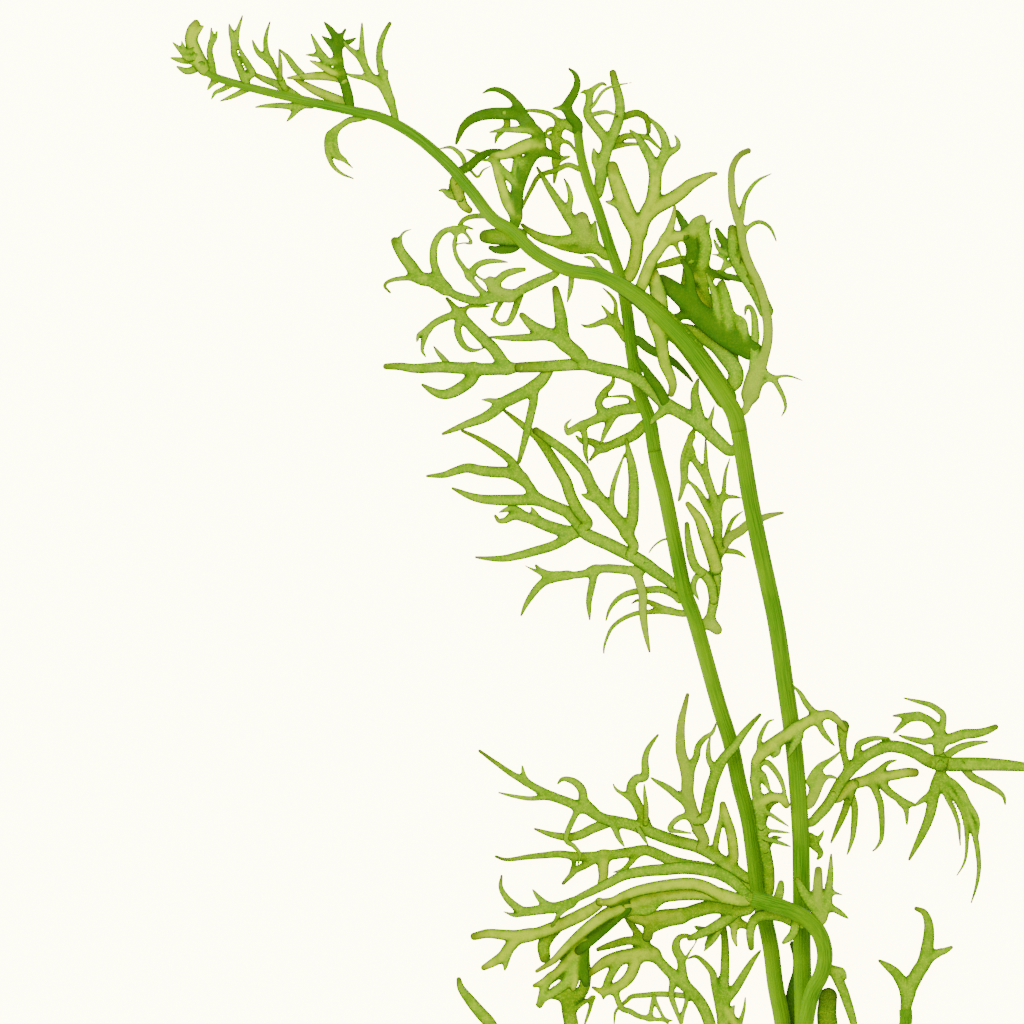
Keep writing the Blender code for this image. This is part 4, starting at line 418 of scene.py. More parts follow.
def frond_1_left_leaves():
    """The long side branch that runs left across the second frond, and its leaves."""
    leaf("left_branch", "frond_1_stalk",
         (17, 2.6, "182.2,143.3 180.5,144.5 178,146.8 176,148.8 173,151 170,152.8 167.5,154.2 165.5,155.6 "
          "163,158 160,160.5 157,162 154,163 150,163.8 146,164.8 140,164.5 135,164.2 130,164", .8),
         (20.6, 2, "d 166.5,155 164.6,158.6 162.4,161.6 160.5,164.5 158.9,167"),
         (21, 1.8, "167,154.4 165.5,153 163.5,151.3 162.5,150"),
         (20.4, 2.2, "g 175,149.6 174,154 173.5,157.5 174.3,161"),
         (23, 1, "176.4,148.5 177.4,151 178.3,154.4"))
    leaf("left_branch_end_leaf", "left_branch",
         (13, 2.4, "129.4,164 125,163.7 120,163.6 115,163.9 110,164.1 104,163.8 100,164.3 96.6,164.3", .5),
         (14.6, 2.3, "126.6,164 123.5,168.5 121,171 118,174 115.5,177 114,178.6 111.8,181.2", .3),
         (14.6, 1.5, "114.8,177.6 110,175.8 107.5,174 106.3,171.5 105.6,168.5 106.4,166.8"),
         (13.8, .9, "107,173.4 104.8,172.3 104.2,170.3"),
         (14, .9, "115,178 117.5,179.3 120,179.3 123,179.3"),
         (14.4, 1.5, "114.9,177 114.4,173.6 115.3,170.5 116.8,168.8 118.5,168.3 120.3,168.6"),
         (11, 1.2, "113,164 109.8,167.5 108.5,169.3"),
         (12.6, 2.4, "118.4,163.6 118,161.3 116,159.5 113.5,158 111,157.3 108.5,158 105.7,159.7"))
    leaf("left_branch_upper_leaf", "left_branch",
         (19, 2.8, "145.6,165.9 143.5,168 141,170.2 140.4,173 140.2,176 139.5,180 138.8,183.5", .5),
         (17.6, 2.4, "141.2,170.4 139,171.5 136,172.8 133,174.5 130.5,177", .5),
         (16.6, 1.6, "137.6,172 134,171.6 130,171.4 126,171.4 122.5,171.6"))
    leaf("left_branch_lower_leaf", "left_branch",
         (13.4, 2.5, "137,163.2 135,160.5 132,158.3 129,156.8 125.5,155 124,153.5 121,151.5 117,150 "
          "114,148.8 110.8,147.5"),
         (13.4, 1.1, "125.4,155 123,155.8 120.5,156"),
         (15, 1.7, "133.4,159.2 133.4,156 132.8,153 132,149.5 131.2,146 130.4,143 129.7,140.5", .5))
    lobes("frond_1_rachis",
         (22.8, 3.2, "y 164.8,177 164.6,181 163.8,184.6 163.2,187.6", .6),
         (24.6, 2.6, "y 163.2,175.8 164.6,172 165.3,169 166,165 167.3,162 168,159.5 167.6,157.4", .5))
    lobes("frond_2_rachis",
         (15.4, 1.8, "d 159.4,170.8 162,168.8 164.5,167.5 166.5,166.5 169,164.8 171.5,162.3 173,160.5"))
    lobes("frond_2_rachis",
         (13.6, 1.6, "156.2,171.4 155,173.2 153.5,175 151,175.5 148.5,174.6 146.5,174.3 145.4,174.7"),
         (13, 1, "153.9,174.4 151.6,178 150.3,179.6"),
         (14.4, .9, "154.6,173.6 153.9,178 153.8,180 152.8,181.8 150.3,184.2"))
    leaf("low_left_leaf", "frond_1_rachis",
         (17, 1.9, "138.6,187.2 134.5,185.3 131,183.6 128,181.9 123.5,181.3 120,180.6 117,181 114,182 "
          "112,183.2 110,184.5 107.5,185.8 105,186.3 102,186.3 99,186 97,185.3 96.3,184.2 97.6,182.7"),
         (18, 2.6, "111,183.8 108,185.6 105,186.4 102.8,189.3 101,191.7 99.5,194 98.8,195.5", .6),
         (18.4, 1.6, "111.2,183.6 108.8,189 108.4,192 108.7,194.5 109.8,196.7 111.3,198 113,198.5 "
          "115,198.6 116.5,199 118.2,198.5"),
         (19.6, 2.4, "p 127.4,181.6 125,182.6 123.3,184 122.5,186", .5),
         (20.4, 1.6, "123.2,184.4 126,187 128.6,188 131,188.4", .5),
         (18.6, 1.1, "122.6,181.2 120,183.4 117.8,186 116,188.8 114.5,191 113.8,193 113.6,195.5 115.5,199.4"),
         (19.8, 1.3, "117.3,186.8 119.2,189.3 121.5,190.3 124,190.5 126.8,190.2"),
         (16, 1.4, "130.4,183.2 127.8,176.2 125.8,174.8 124.2,175.2 122.8,176"),
         (16.4, 1.1, "126,181.6 123.7,177.5 123.8,175.8"),
         (18, .7, "113.6,197.6 115.5,198 116.8,197 117.9,195 116,195 114.3,194.7"),
         (19, .6, "123.2,184.8 120.5,186 118.8,187.3"),
         (18, .7, "100.2,192.9 100.2,195 100.4,196.8 101.4,197.9 102.9,198.4"))


def frond_2_middle_leaves():
    """The leaves along the middle of the second frond."""
    leaf("middle_upper_leaf", "frond_2_rachis",
         (10, 2.2, "160,153.9 158,153.8 154.5,153.3 151,152 148,150.7 145,149.5 142.8,148.5", .4),
         (9.6, 1.6, "151.2,152 149.6,155 151,157.8 153,160 153.4,162.5"),
         (10.4, .9, "144,149 142,147.6 141.4,149.6 142.9,151.3"),
         (8.6, 1.4, "154,153 151.5,148.5 150.5,146 150,145"),
         (9.8, .8, "158.6,154.6 157,156.6 154.5,156.9 151.8,156.7"),
         (8, 1.3, "145.6,149.7 146.3,146 146.3,143 147,140"))
    lobes("frond_2_rachis",
         (5.4, 2.2, "161,149.7 158.5,147.3 155,145.6 152,144.4 149.5,143.2 147.5,141"),
         (4.4, 1.6, "151,143.9 147.5,145.6 145.5,145.7 144,147"))
    leaf("long_left_leaf", "frond_2_stalk",
         (1.6, 2.6, "169.2,109.2 166.5,111.3 163.5,113.3 161,115.2 158,117 155,118.5 152,120 149,121.3 "
          "146.5,122.6 145,124.5 142,127.8 139.5,129 136.5,130.3 134,131.5 132.5,134 130.5,136.5 "
          "129,139 127.5,141 125,143 122,145 119,146.7 115.6,148.3"),
         (1.2, 2.2, "130.6,136.2 127,137.8 124,138 120.5,138.3 117,139 114,138.3 111,137.3 106.8,137"),
         (1.4, 2.2, "134.4,131.3 129,131 125,131 121,131.2 117.5,132 113.2,133.9"))
    leaf("long_left_side_leaf", "long_left_leaf",
         (1.4, 2.4, "144.4,122.9 141,123.3 137,124.5 134,125.8 131,126.8 128.5,127 126.5,126 124.8,125.8 "
          "123.8,127"),
         (2.4, 1.9, "143.4,122.9 141.4,121.2 138,119.5 134,118.3 130,117.2 126,116.4 122,116.4 119,116.7"),
         (2, 1.2, "134.6,125.6 133.5,128 132.8,129.2"),
         (2, 1.4, "131,126.9 129.6,128.4 127.6,128.9 125,128"))
    leaf("long_left_inner_leaf", "long_left_leaf",
         (9, 2.3, "147,125.2 144.8,128 143.2,130.8 142.3,133 141.5,135.5 139.8,138.5 138,141.5 136,144.5 "
          "134,147 131.5,149 129,151 125.5,153.8"))
    leaf("forked_middle_leaf", "long_left_leaf",
         (13, 2.4, "158.4,119.4 157.3,121.6 156,124 153.5,127 151,129.8 149,132.5 147.5,135 146.2,138 "
          "144.5,140 142,142.5 138,145.5 134,148.3", .6),
         (11, 1.4, "149.8,131.4 147.4,131.6 145.4,132.4"),
         (12, 1.1, "153,127.8 153.2,134.2 155.9,142.3"),
         (13, 2.3, "156.6,123 158,126 158.3,132 158.3,136 157.8,140 157,143.5 156.5,146", .3))
    leaf("lower_left_leaf", "long_left_leaf",
         (3, 1.8, "160.4,113.4 158.5,113.3 155,113.7 151.5,113.9 148,113.5 146.5,112.7 143,112.2 "
          "140,112.3 138,112.5 135.5,113.5 134,114.7"),
         (2.6, 1.7, "141.6,112.2 137,111 134.8,109.5 132.8,107 131.3,104.5 130.3,102.2"),
         (5, 1.5, "148.8,113.5 147.8,109 147.2,105.5 147.4,101.2"),
         (3, .7, "139,112.4 136.5,112.1 134,113.2 131.3,114.6"),
         (11.6, 1.8, "p 158.9,113.3 159.8,110.5 160.7,107 160.6,104 161,100 161.6,96.5 162.3,93.2"))
    lobes("frond_2_stalk",
         (6, 1.5, "169.8,106.1 168.5,107.3 165.5,108.6 162.5,108.6 159,108.2 156,107.3 153.7,105.6 "
          "152.2,103.3 151.5,101"))
    lobes("frond_2_stalk",
         (2.4, 1.4, "171.2,102.7 169,102.9 166,103.8 163.5,105 161,105.9 159.3,105.9 158,105.2"),
         (1.4, 1, "167.4,103.3 162,103 158.8,102.6 155.5,101.2 153,99.1 151.7,96.5 151,94 151,91.5"))
    leaf("middle_right_leaf", "frond_2_stalk",
         (12, 2, "177,100.4 178,104 178.5,107 178.9,110 179,114 179.2,118 179.3,122 179.2,126 "
          "178.4,131 177,135 175.5,138 173.5,141 172.5,144 172.6,147 173.8,149", .4),
         (9, 2.4, "p 176.9,100.6 178.2,99.6 179.2,98.6", .8),
         (13.4, 1.9, "178.6,106 177.6,110 175.8,112.5 174,114 172.8,116.5 172.2,119.5 171.8,122.3 "
          "171.6,125", .5),
         (12, 1.3, "175.6,112.6 173.8,111.5 173.3,109 174.5,106.2"),
         (14, 2.6, "y 178.9,114 177.6,118.4 176.2,122 174.8,126 173,128.5 171.8,130", .4),
         (12.8, 1.5, "178.9,124.6 177,128.6 174.5,133 172.8,135 171.5,136"),
         (13, 1.2, "173,143.2 171.5,141 171.2,137 170.6,134 169.8,131.4"),
         (12, 1, "177.4,134.4 176.4,140 176.3,147"),
         (12.4, 1, "179.3,127 180.6,132 181.2,137.5 182.3,141.3"),
         (8, 2, "p 179.2,116.8 181,120 182.5,121.8 185,123.3 187,125 190.5,126.5 193,127.3 195.6,127.8"),
         (8, 1, "180.6,119.6 182.5,125 184,127 185.6,128.2"),
         (8.6, 1.2, "180,118.6 184,118 186.3,116.7"),
         (13, .8, "173.2,146.6 172,145.6 170.8,143 170.3,140 170.5,135.4 170.2,133 169.5,130.5"),
         (11.4, .9, "180.6,131.7 183,131.8 185.2,131.5"))


def frond_1_low_leaves():
    """The side branch low on the right of the first frond, with its hanging leaves."""
    leaf("low_right_branch", "frond_1_stalk",
         (6, 2.1, "202.6,50.6 204.5,52.4 206.5,54.6 208,57 210,60.5 212,63 214.5,65.5 217,67.5 220,68.9 "
          "222.5,69.5 226,69 229,67.8 232,66 235,65", 1.3),
         (1, 2.7, "233.6,65.4 237,65 241,65 245,65 250,64.8 256,64.3 262,63.5", .3),
         (.6, 1.6, "240,64.8 243,61.8 246,60.3 249,58.6 250.8,57 251.3,55"),
         (3, 1.6, "235,66 238.5,68.5 241,69.6 244,70.3 246.8,70.6"),
         (7, 1.3, "212,63 211.2,66 210.6,69 210.5,72 210.6,74.5", 1.9),
         (8, 1.4, "214,65.2 214.4,69.6 216.5,71 219,71.6 222,71.6"))
    leaf("low_right_upper_leaf", "low_right_branch",
         (3, 2.2, "234.6,67.7 235.2,70.5 238,71.5 241,72.5 244,72.7 246.5,73.3 248.8,74.3", .5),
         (5, 1.4, "235,69.4 235.3,73 235.7,77 234.5,78.5 232.5,79.8 230,80.5 226,81.5"),
         (4, 1.8, "235.1,70.6 234.4,73 233,75.2 231.5,76.3 229.5,77 226,77.2 223.3,77.1"),
         (3.4, 1.4, "229.6,77 227,76.2 225,74.5 223.3,72.8"),
         (4, 1.4, "234.9,70.2 233,71 231,70.6 229,71 226.5,71.6 224.7,72.2"))
    leaf("low_right_yellow_leaf", "low_right_branch",
         (2.2, 2.2, "y 209.3,56.6 213,59.8 216,60.8 220,61.8 224,62.4 226.6,62.9 228.6,62.9", .8),
         (3.4, 1.3, "217,61 220,63.7 222,65.4 224,66"),
         (1.2, 1.6, "219.6,61.7 222,58.3 225,56 226.5,53.5 226.7,50"),
         (1.4, 1.3, "225.4,55.6 227.6,55 229,54.7"),
         (3, 1.6, "213.6,60 212,56 211,53 209.5,49.5 207.7,45.4"),
         (1.6, 1.4, "212.9,57.6 213.6,54 213.3,48 212.5,44.5 211.8,42.5"),
         (1, 1.4, "217.6,61.1 219.8,56 220.3,53 220.5,49 220.2,46 219,44 218.2,43.3"))
    leaf("low_right_hanging_leaf", "low_right_branch",
         (1.4, 2.2, "235,62.6 234,60.2 233.5,58 232.8,54 231.8,50.5 230,46.5 227.3,41.2"),
         (2.6, 1.3, "233.5,58 230.5,56 228.5,54.5"),
         (3, 1, "234.6,61.6 236.5,57 238.3,53.5 239.5,50 239.9,46 240,44.5"),
         (3.6, 1, "234.7,61.8 238,57.5 240,54.5 241.2,51 241.6,47.5 241.5,43 240.8,40 239,37"),
         (4.6, 1.5, "234.9,62.2 238.5,60 240.5,57.5 242,55 243.8,52.3 244.5,50 244.4,48"),
         (5.6, 1.2, "240.3,57.8 241.4,53.6 243.3,48.5 244.2,44 244.6,40 244.4,37 243.8,34 242.7,30.5"))
    lobes("frond_1_stalk",
         (12.6, 2.2, "p 202,55.4 203.5,58 204.4,60 205,62.5", .6),
         (12.8, 1.3, "203.2,57.6 203,61.6 204.5,64.6 206,65.6"),
         (11.6, 1, "204.4,60.4 207,62 209.5,61.4"),
         (13, 1.2, "202,60.8 203.6,63 206,65.2 208.4,67 210.2,68.6"))
    lobes("frond_1_stalk",
         (9, 1.9, "202.4,46.8 203.3,45 204.7,43.5 205,42.5 204.3,41.5", .3),
         (9.6, 1, "203.1,45.6 204.7,46.6 205.8,48.6"))
    leaf("inner_leaf_stem", "frond_2_stalk",
         (13.4, 2.2, "191.9,32.6 192.1,38 191.3,43 190.4,48 189.8,53 189,58 188.6,62 188.8,65.6", .8),
         (9, 1.6, "190.2,49.6 191.4,53.4 193,55.4 195.3,56"),
         (8.4, 1.3, "191.2,43.6 193,46.4 195.2,46.8"),
         (13, 1.5, "188.6,61 190.2,62.6 191.4,60.4 192.3,58.5"),
         (13.8, 1.2, "189,65 191.4,65.6 193.4,63.8 195,61.2 195.9,58.4 196.2,55.8"),
         (14.2, .9, "189.4,55.4 191,53.6 194,51.6 197,49.6"),
         (14.2, 2, "y 190,55.4 192.6,56.8 195,56.6 196.4,55", .7),
         (14.2, .8, "190.6,48.6 194,48.4 197.4,48"),
         (14.2, 1, "190.9,46.9 194.5,45.6 197.4,44.6"))
    leaf("front_yellow_leaf", "inner_leaf_stem",
         (17.4, 2.6, "y 189.6,67 192,69.3 196.5,72.5 200,74.8 204,76.8 207,77.5 209.5,75.7 211,73.8", .4),
         (19, 1.3, "204.2,77 201.5,80 199.8,82.8 198,84.8"),
         (16.6, 1.3, "203.6,76.8 205.5,73.2 207,71.3 208.3,69.8"),
         (17.4, 1.7, "199,74 199.5,72 198,69.5 196.8,67"),
         (16, 1.4, "193,70 194.2,68.4 193,66.8"),
         (15.4, 1, "190.3,67.8 189.6,71 191.5,75.3 193.5,76.4"))


def frond_2_low_leaves():
    """The leaves low on the left of the second frond."""
    leaf("low_left_branch", "frond_2_stalk",
         (.8, 2.4, "187.2,36.4 183.5,38.8 180.5,40.8 177.5,42.8 174,44.5 170.5,45.4 167,46.4 163.5,47.7 "
          "159,49.5 155,50.5 152,51 149.5,52 147.5,53.5 145.5,54 142,55.5 138,57 134,59 131.5,60.5 "
          "128,62.5 124,65.3 119.9,68.3"),
         (1.2, 1, "138.4,56.8 133,56.4 130,56.7 127,57.3 124.2,58"),
         (1.8, 1.8, "148,53.2 146,56 145.5,58.5 144,60.3 142,61.2 140.5,61.2 139.5,60.2"),
         (4.2, 1.2, "141.5,46.8 143.5,44.5 145,42.5 144.5,40"),
         (4.4, 1.3, "153,50.4 154.5,47 156,44.5"),
         (4.6, 1, "159.3,49.2 161,46.5 162,44.8"),
         (1, .9, "131.6,60.4 130.9,62.6 130.5,64.8"),
         (1, 1.9, "153,50.8 148,48.8 145.5,47.5 143,46.8 141,46.8 137.5,47.5 133.7,48.8"))
    leaf("low_left_under_leaf", "frond_2_stalk",
         (1, 2.2, "187.9,33.8 184,36 180,38.2 176,39.2 172,39.8 168,40.8 165,42.2 162,43.4 160,43.4 "
          "156,42.8 152,42.2 148,42 144,42 140,42.5 136,42.2 132,41.8 128,41.2 126,41.2 124,41.9"),
         (1.4, 1.4, "150,42.1 146.5,39.8 144,38.5 142.5,37 140.8,35.2", .5),
         (2, 2.2, "y 151,42.1 150.8,39.5 150.8,37 150,35", .5),
         (1.6, 1.2, "160,43.4 157.3,40 155.5,38.5 153.5,38"),
         (1.6, .7, "d 143.4,42.2 143.4,40.4 143,39 142.9,37.8"))
    lobes("low_left_branch",
         (6.4, 2, "161.4,50.2 160.3,52.8 159,55.5 158,57.5 157.8,59.5 159,61.3 161,61.8 161.3,63.5 "
          "161.2,66 161.8,68.5 163,70.5 164.4,72.3"),
         (5, .9, "158.8,56 155,58 153.8,59 153.2,60.3"))
    leaf("left_upright_leaf", "low_left_branch",
         (9, 2.5, "p 176,45.8 175,48 174.2,50 173.5,52 172.5,54.5 171.8,58 171.8,61 171.3,64 170.2,68 "
          "170,72 170.3,76 171,79 171.8,82.4", .3),
         (8.6, 1.5, "171.9,60 173,64.5 174,67 174.5,69.5 176,71.5 178,73 179,75.4"),
         (6, 1.6, "172.4,55 169.5,57 167,59 164,60.8 162.8,61.6"),
         (6.4, 1.2, "173.8,51.4 171,52 168.8,51 167.4,48.8 170,48.2 172.5,47.8"))
    leaf("right_upright_leaf", "left_upright_leaf",
         (12.4, 2.3, "176,51.6 176.8,55 177.6,59 178.4,61.5 179.4,64 181,66.8 183.3,69.3 185.5,72.5 "
          "188,75.5 189.8,77.4", .3),
         (11, 1.2, "178.9,63 177.2,66 177,69.5 177.5,72"))
    lobes("low_left_branch",
         (8.4, 2.1, "y 183.2,41.4 183.2,44 182.6,48 181.4,52 180.6,55", .6),
         (7.4, 1.3, "178.8,42.4 179,46 179.8,50 180.3,54"),
         (7.4, 1.1, "161.3,50.2 161.5,54 161.2,57 161,60"))


def frond_3_leaves():
    """The leaves of the third frond, the nearest to the eye, which bends left across both stalks."""
    leaf("upper_front_leaf", "frond_3_stalk",
         (15.4, 2.4, "185.6,33.6 183,36 180,37.8 176,38.8 171,39.3 166,38.9 161,38.5 156,37.5 152,35.5 "
          "148,33.5 144,31.5 141.5,29.5 139.3,27 138,24.8"),
         (13, 1.9, "142.6,30.4 138,29.3 134,28.7 131,28.5 128.5,30 126.5,32 125.2,34.5 125.4,37.3"),
         (12.6, 1.3, "138,29.3 135,31.5 133.2,33.8"),
         (12.4, .9, "131.6,28.6 129,27.4 126,28.3"))
    leaf("middle_front_leaf", "frond_3_stalk",
         (15.8, 3, "y 185.4,31.2 178,32.9 172,33.2 166,32.6 161,31.2 157,29.8 153,28.5 149,26 145,22.8 "
          "141,19 138,16 134.2,13.6", .25),
         (18.6, 2.4, "y 180,32.6 176,34.6 172,35.4 166,34.9 160,33.8 156,32.4 153,31 149.8,30.8", .6),
         (15, 2.2, "165,32.4 162,29 158,28.6 154,26.4"),
         (14, 3, "d 156,29.4 153.6,27.4 150.6,24.6 147.4,21.4 144.6,18.6", .5),
         (12.6, 2, "y 146.4,20.6 142,16 139,13 136,11 133.6,9.9", .4),
         (12.4, 2.2, "144.4,18 143,14 141.4,10.6 138.4,8.2 136,6.6 135,4.8", .4),
         (12.2, 1.5, "137.6,12.2 136,9.4 134.8,6.2 134.2,5.2"),
         (12.4, 2.1, "d 146,19.6 145.6,16 146,13 146.4,10.4", .6),
         (12, 1.8, "y 143.4,14.4 143.6,11.6 143.2,9", .5))
    leaf("front_end_leaf", "middle_front_leaf",
         (8.6, 2.5, "y 149,29.9 146,28 142,26 138,24.2 134,22.8 130,22.3 126,22.5 122,22.8 118.6,22.1", .6),
         (8, 2.3, "y 132,22.5 129.5,21.5 127.5,19.5 126,17.5 124,16 121,14.3", .5),
         (8.6, 1.4, "126.6,18.4 126.6,16.4 126.2,13.7"),
         (9.4, 2.6, "139,24.7 136.9,22 135.9,19.6 136.2,16.8", .8))
    leaf("lower_front_leaf", "frond_3_stalk",
         (10, 2.8, "186.6,29.2 182,29.4 178,29.6 174,28.6 170,27.2 166,25.8 162.5,24 161.8,22", .7),
         (10.6, 3, "y 170,27.4 166,27 162,26.4 158.6,27 156.4,28.2", .6),
         (11, 2.2, "g 184.6,29.2 182,26.8 178,24.2 175,22.7 172.3,21.7", .5),
         (11, 1.4, "180.4,25.8 178.6,22 176,18.6"),
         (12, 1.6, "y 184,28.6 183.4,25 183.4,22 184,19.8"),
         (10.6, 1.9, "d 181.4,26.4 178.6,24.2 177.6,22 176.4,20.2"),
         (10.6, 1.4, "d 177,23.8 175.4,23.8 173.6,24.6"),
         (12.4, 1.7, "183.6,25.6 186,25 188,23.6"))
    leaf("front_upright_leaf", "frond_3_stalk",
         (18.8, 2.1, "p 205.2,26.8 204.5,29 204.1,33 204.3,38.8", .7),
         (17.6, 1.6, "205.4,27.6 206.6,30 206.9,33.5 207.3,38 207.5,42.7"),
         (19.4, 2.3, "204.6,28 202.6,30.6 200.6,33.4 199,36.5", .4),
         (17, 1.3, "206.4,29.6 208.6,28.9 210,28 211.7,26.8"),
         (17.4, .9, "204.1,30.6 206.6,33 208,33.2 210.3,32.6"))
    lobes("frond_3_stalk",
         (18.4, 1.9, "194,31 194.7,33.4 195,35.6", .6),
         (14.6, 2.3, "199.6,25.4 195.6,27.2 191.6,27.6 188.6,26.6 187.4,23.4 187.6,19.4", .5),
         (20, 1.8, "198.8,25.8 198,23 195.6,20.8", .4))


def rootstock_leaves():
    """The short leaves and side leaves near the foot of the plant."""
    lobes("frond_3_stalk",
         (12, 2, "208.1,13.6 209.4,11.2 210.6,8.6 211.5,6 212.5,3 213.3,0 213.8,-4", .4),
         (14.4, 1.5, "208.4,13.2 210,13.6 211.3,11.9"))
    leaf("dark_sheath_leaf", "rootstock",
         (3.2, 4.4, "d 200.6,-13.2 199.4,-6 198.7,0 198.6,5 199,9 199.8,13 199.4,17 198.2,20", .3))
    leaf("short_blunt_leaf", "rootstock",
         (5, 4.2, "207.4,-12.6 207.2,-6 206.8,0 206.6,3 207,7", .8))
    leaf("fifth_frond_leaf", "frond_5_stalk",
         (2, 2.8, "226.6,5.2 227.2,8.6 229.5,13 231,15.5 231.9,20 232.2,23.5 231.9,26 230.9,28 229,28.9", .3),
         (2, 1.7, "231.1,15.8 234.5,17.8 236,18.3 237.8,19.2", .4),
         (2, 2.2, "227,7.4 224.5,12 222.5,14 219.8,15.9"))
    lobes("low_frond_stalk",
         (2, 2.4, "123.6,-1.6 122,0.8 120,3 117.5,6 115.3,9 114.7,11.2", .4))
    leaf("seventh_leaf", "low_frond_stalk",
         (3, 2.8, "144.6,-9.4 143.4,-4 142.8,0 142.1,4 142,8 142,11 142.3,15 143.5,19", .6),
         (5, 2.2, "142.2,6 145.6,8.4 146.5,12.5 146.3,15.5 146.5,19", .6),
         (3, 2.2, "142,10 141,13.4 138.5,12 136,10 133.5,9.8"),
         (2, 2.2, "142.2,7 138,7.6 136,6.5 134.9,4.8"),
         (3.4, .9, "142.4,3.4 144,4 146,5.5 148.5,6.8"),
         (3, .8, "148.3,6.5 147.5,4 146.5,1 145.8,-1"))
    leaf("eighth_leaf_right", "low_frond_stalk",
         (4.4, 2.1, "182.6,-15.6 181.4,-8 180.7,0 180.8,5 181,10 181.2,15 181.2,20 180.8,24.5", .6),
         (4.6, 1.8, "180.8,5.4 183.6,8.7 186,12.6 188,15.8 190,18.4"),
         (3.4, 1, "184.4,-1.6 185.2,1 186,4 186.3,6.8"),
         (3.6, 1.8, "y 181,4 183,1.4 184.6,-1.4", .6),
         (4, 1.4, "180.7,0 182.2,2.4 183.6,4.6"),
         (3.8, 1.6, "180.6,1 179.2,7 178.5,10.5 178,13 176,15.5 174,17 172,16.5"))
    leaf("eighth_leaf_left", "low_frond_stalk",
         (6.4, 2.4, "179.6,-15.2 178.4,-8 177.4,0 175,5.5 171,10 167,13.5 163,18 160,22 157.5,25.5 "
          "155.5,29", .4),
         (6.6, 1.7, "171,10 170.5,14 170,16.5 168.8,19 169.5,21.5 171.5,22.2 174,21.5"),
         (6, 1.7, "161,20.6 157,21 153,20 149.5,18.8", .5),
         (8, 2.8, "y 163.4,17.6 160,17.5 156,17 152,16 149.5,14.5 147.3,12.6", .4),
         (7, 1.7, "155.4,16.9 153,13 151.5,10 150.8,6.5"),
         (6.4, 2.3, "y 159.4,17.4 157.9,13 155.9,10.5 153,8.8 150.5,8.3 148.2,9.3"),
         (5, 1.2, "155.2,4.4 157.5,3.3 160,2 164,1.3 168,1"),
         (5, .9, "163.4,6.8 163.9,5.6 165.2,3 167,0"),
         (5, .9, "171.8,7.2 171.4,5 170.8,3 170.2,-1"),
         (6.6, .6, "169.4,20.4 171,16.6 172.6,18.6 174,20.7"),
         (4, 1.2, "174,6.6 170,7.3 165,7.6 161,7.3 158,7 156.5,5.8 155,4.5 153.8,3 153.5,0"),
         (5, 1.3, "168.4,12.4 167.8,7.5 168.8,4 170,0.5"))


def lay_roots():
    """A small tuft of roots at the foot of the rootstock."""
    leaf("roots", "rootstock",
         (1, 2, "200.6,-27 199.4,-30 200.6,-34 199,-39", .3),
         (.8, 1.3, "200,-29.4 203,-32 204.4,-35.4 207,-38", .4),
         (.8, 1.3, "199.8,-29 196.8,-31.6 196,-35 193.4,-37.4", .4),
         (1.4, 1.1, "200.4,-28.2 204.4,-29.6 208,-32.4 211.6,-33", .4))


def grow_plant():
    """Every stem and leaf, in the order in which each finds what carries it."""
    foot = smooth_path(numbers("201,-20,3 201,-19.8,3"))
    NODES["rootstock"] = [{"curve": foot, "half": np.full(len(foot), ROOTSTOCK_REACH), "round": True}]
    lay_stems()
    lay_roots()
    frond_1_end_leaves()
    frond_1_bend_leaves()
    frond_1_right_leaves()
    frond_2_top_leaves()
    frond_1_left_leaves()
    frond_2_middle_leaves()
    frond_1_low_leaves()
    frond_2_low_leaves()
    frond_3_leaves()
    rootstock_leaves()


def board_shift():
    """Board millimetres to the frame: the shift that lays each stem on its own solid."""
    shifts = []
    for name, strokes in NODES.items():
        if name == "rootstock":
            continue
        low, high = (np.array(corner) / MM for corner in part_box(name))
        reach = np.concatenate([s["half"] for s in strokes])[:, None]
        spots = np.vstack([s["curve"][:, :2] for s in strokes])
        drawn = ((spots - reach).min(axis=0) + (spots + reach).max(axis=0)) / 2
        shifts.append((low[:2] + high[:2]) / 2 - drawn)
    return np.array([*np.median(shifts, axis=0), 0.0])


def touches(stroke, other, own_foot):
    """Whether a stroke crosses another at a clearly different height, away from its own foot."""
    away = stroke["curve"][own_foot:]
    reach = stroke["half"][own_foot:]
    if not len(away):
        return False
    gaps = np.linalg.norm(away[:, None, :2] - other["curve"][None, :, :2], axis=2)
    gaps -= reach[:, None] + other["half"][None, :]
    near = gaps < CROSS_GAP
    rise = np.abs(away[:, None, 2] - other["curve"][None, :, 2])
    return bool((near & (rise > LAYER_STEP)).any())


def layers_of(strokes):
    """Strokes grouped so that those of one group never cross at different heights."""
    layers = []
    for stroke in strokes:
        foot = int(1.5 * stroke["half"].max() / CURVE_STEP) + 3
        for layer in layers:
            if not any(touches(stroke, other, foot) for other in layer):
                layer.append(stroke)
                break
        else:
            layers.append([stroke])
    return layers


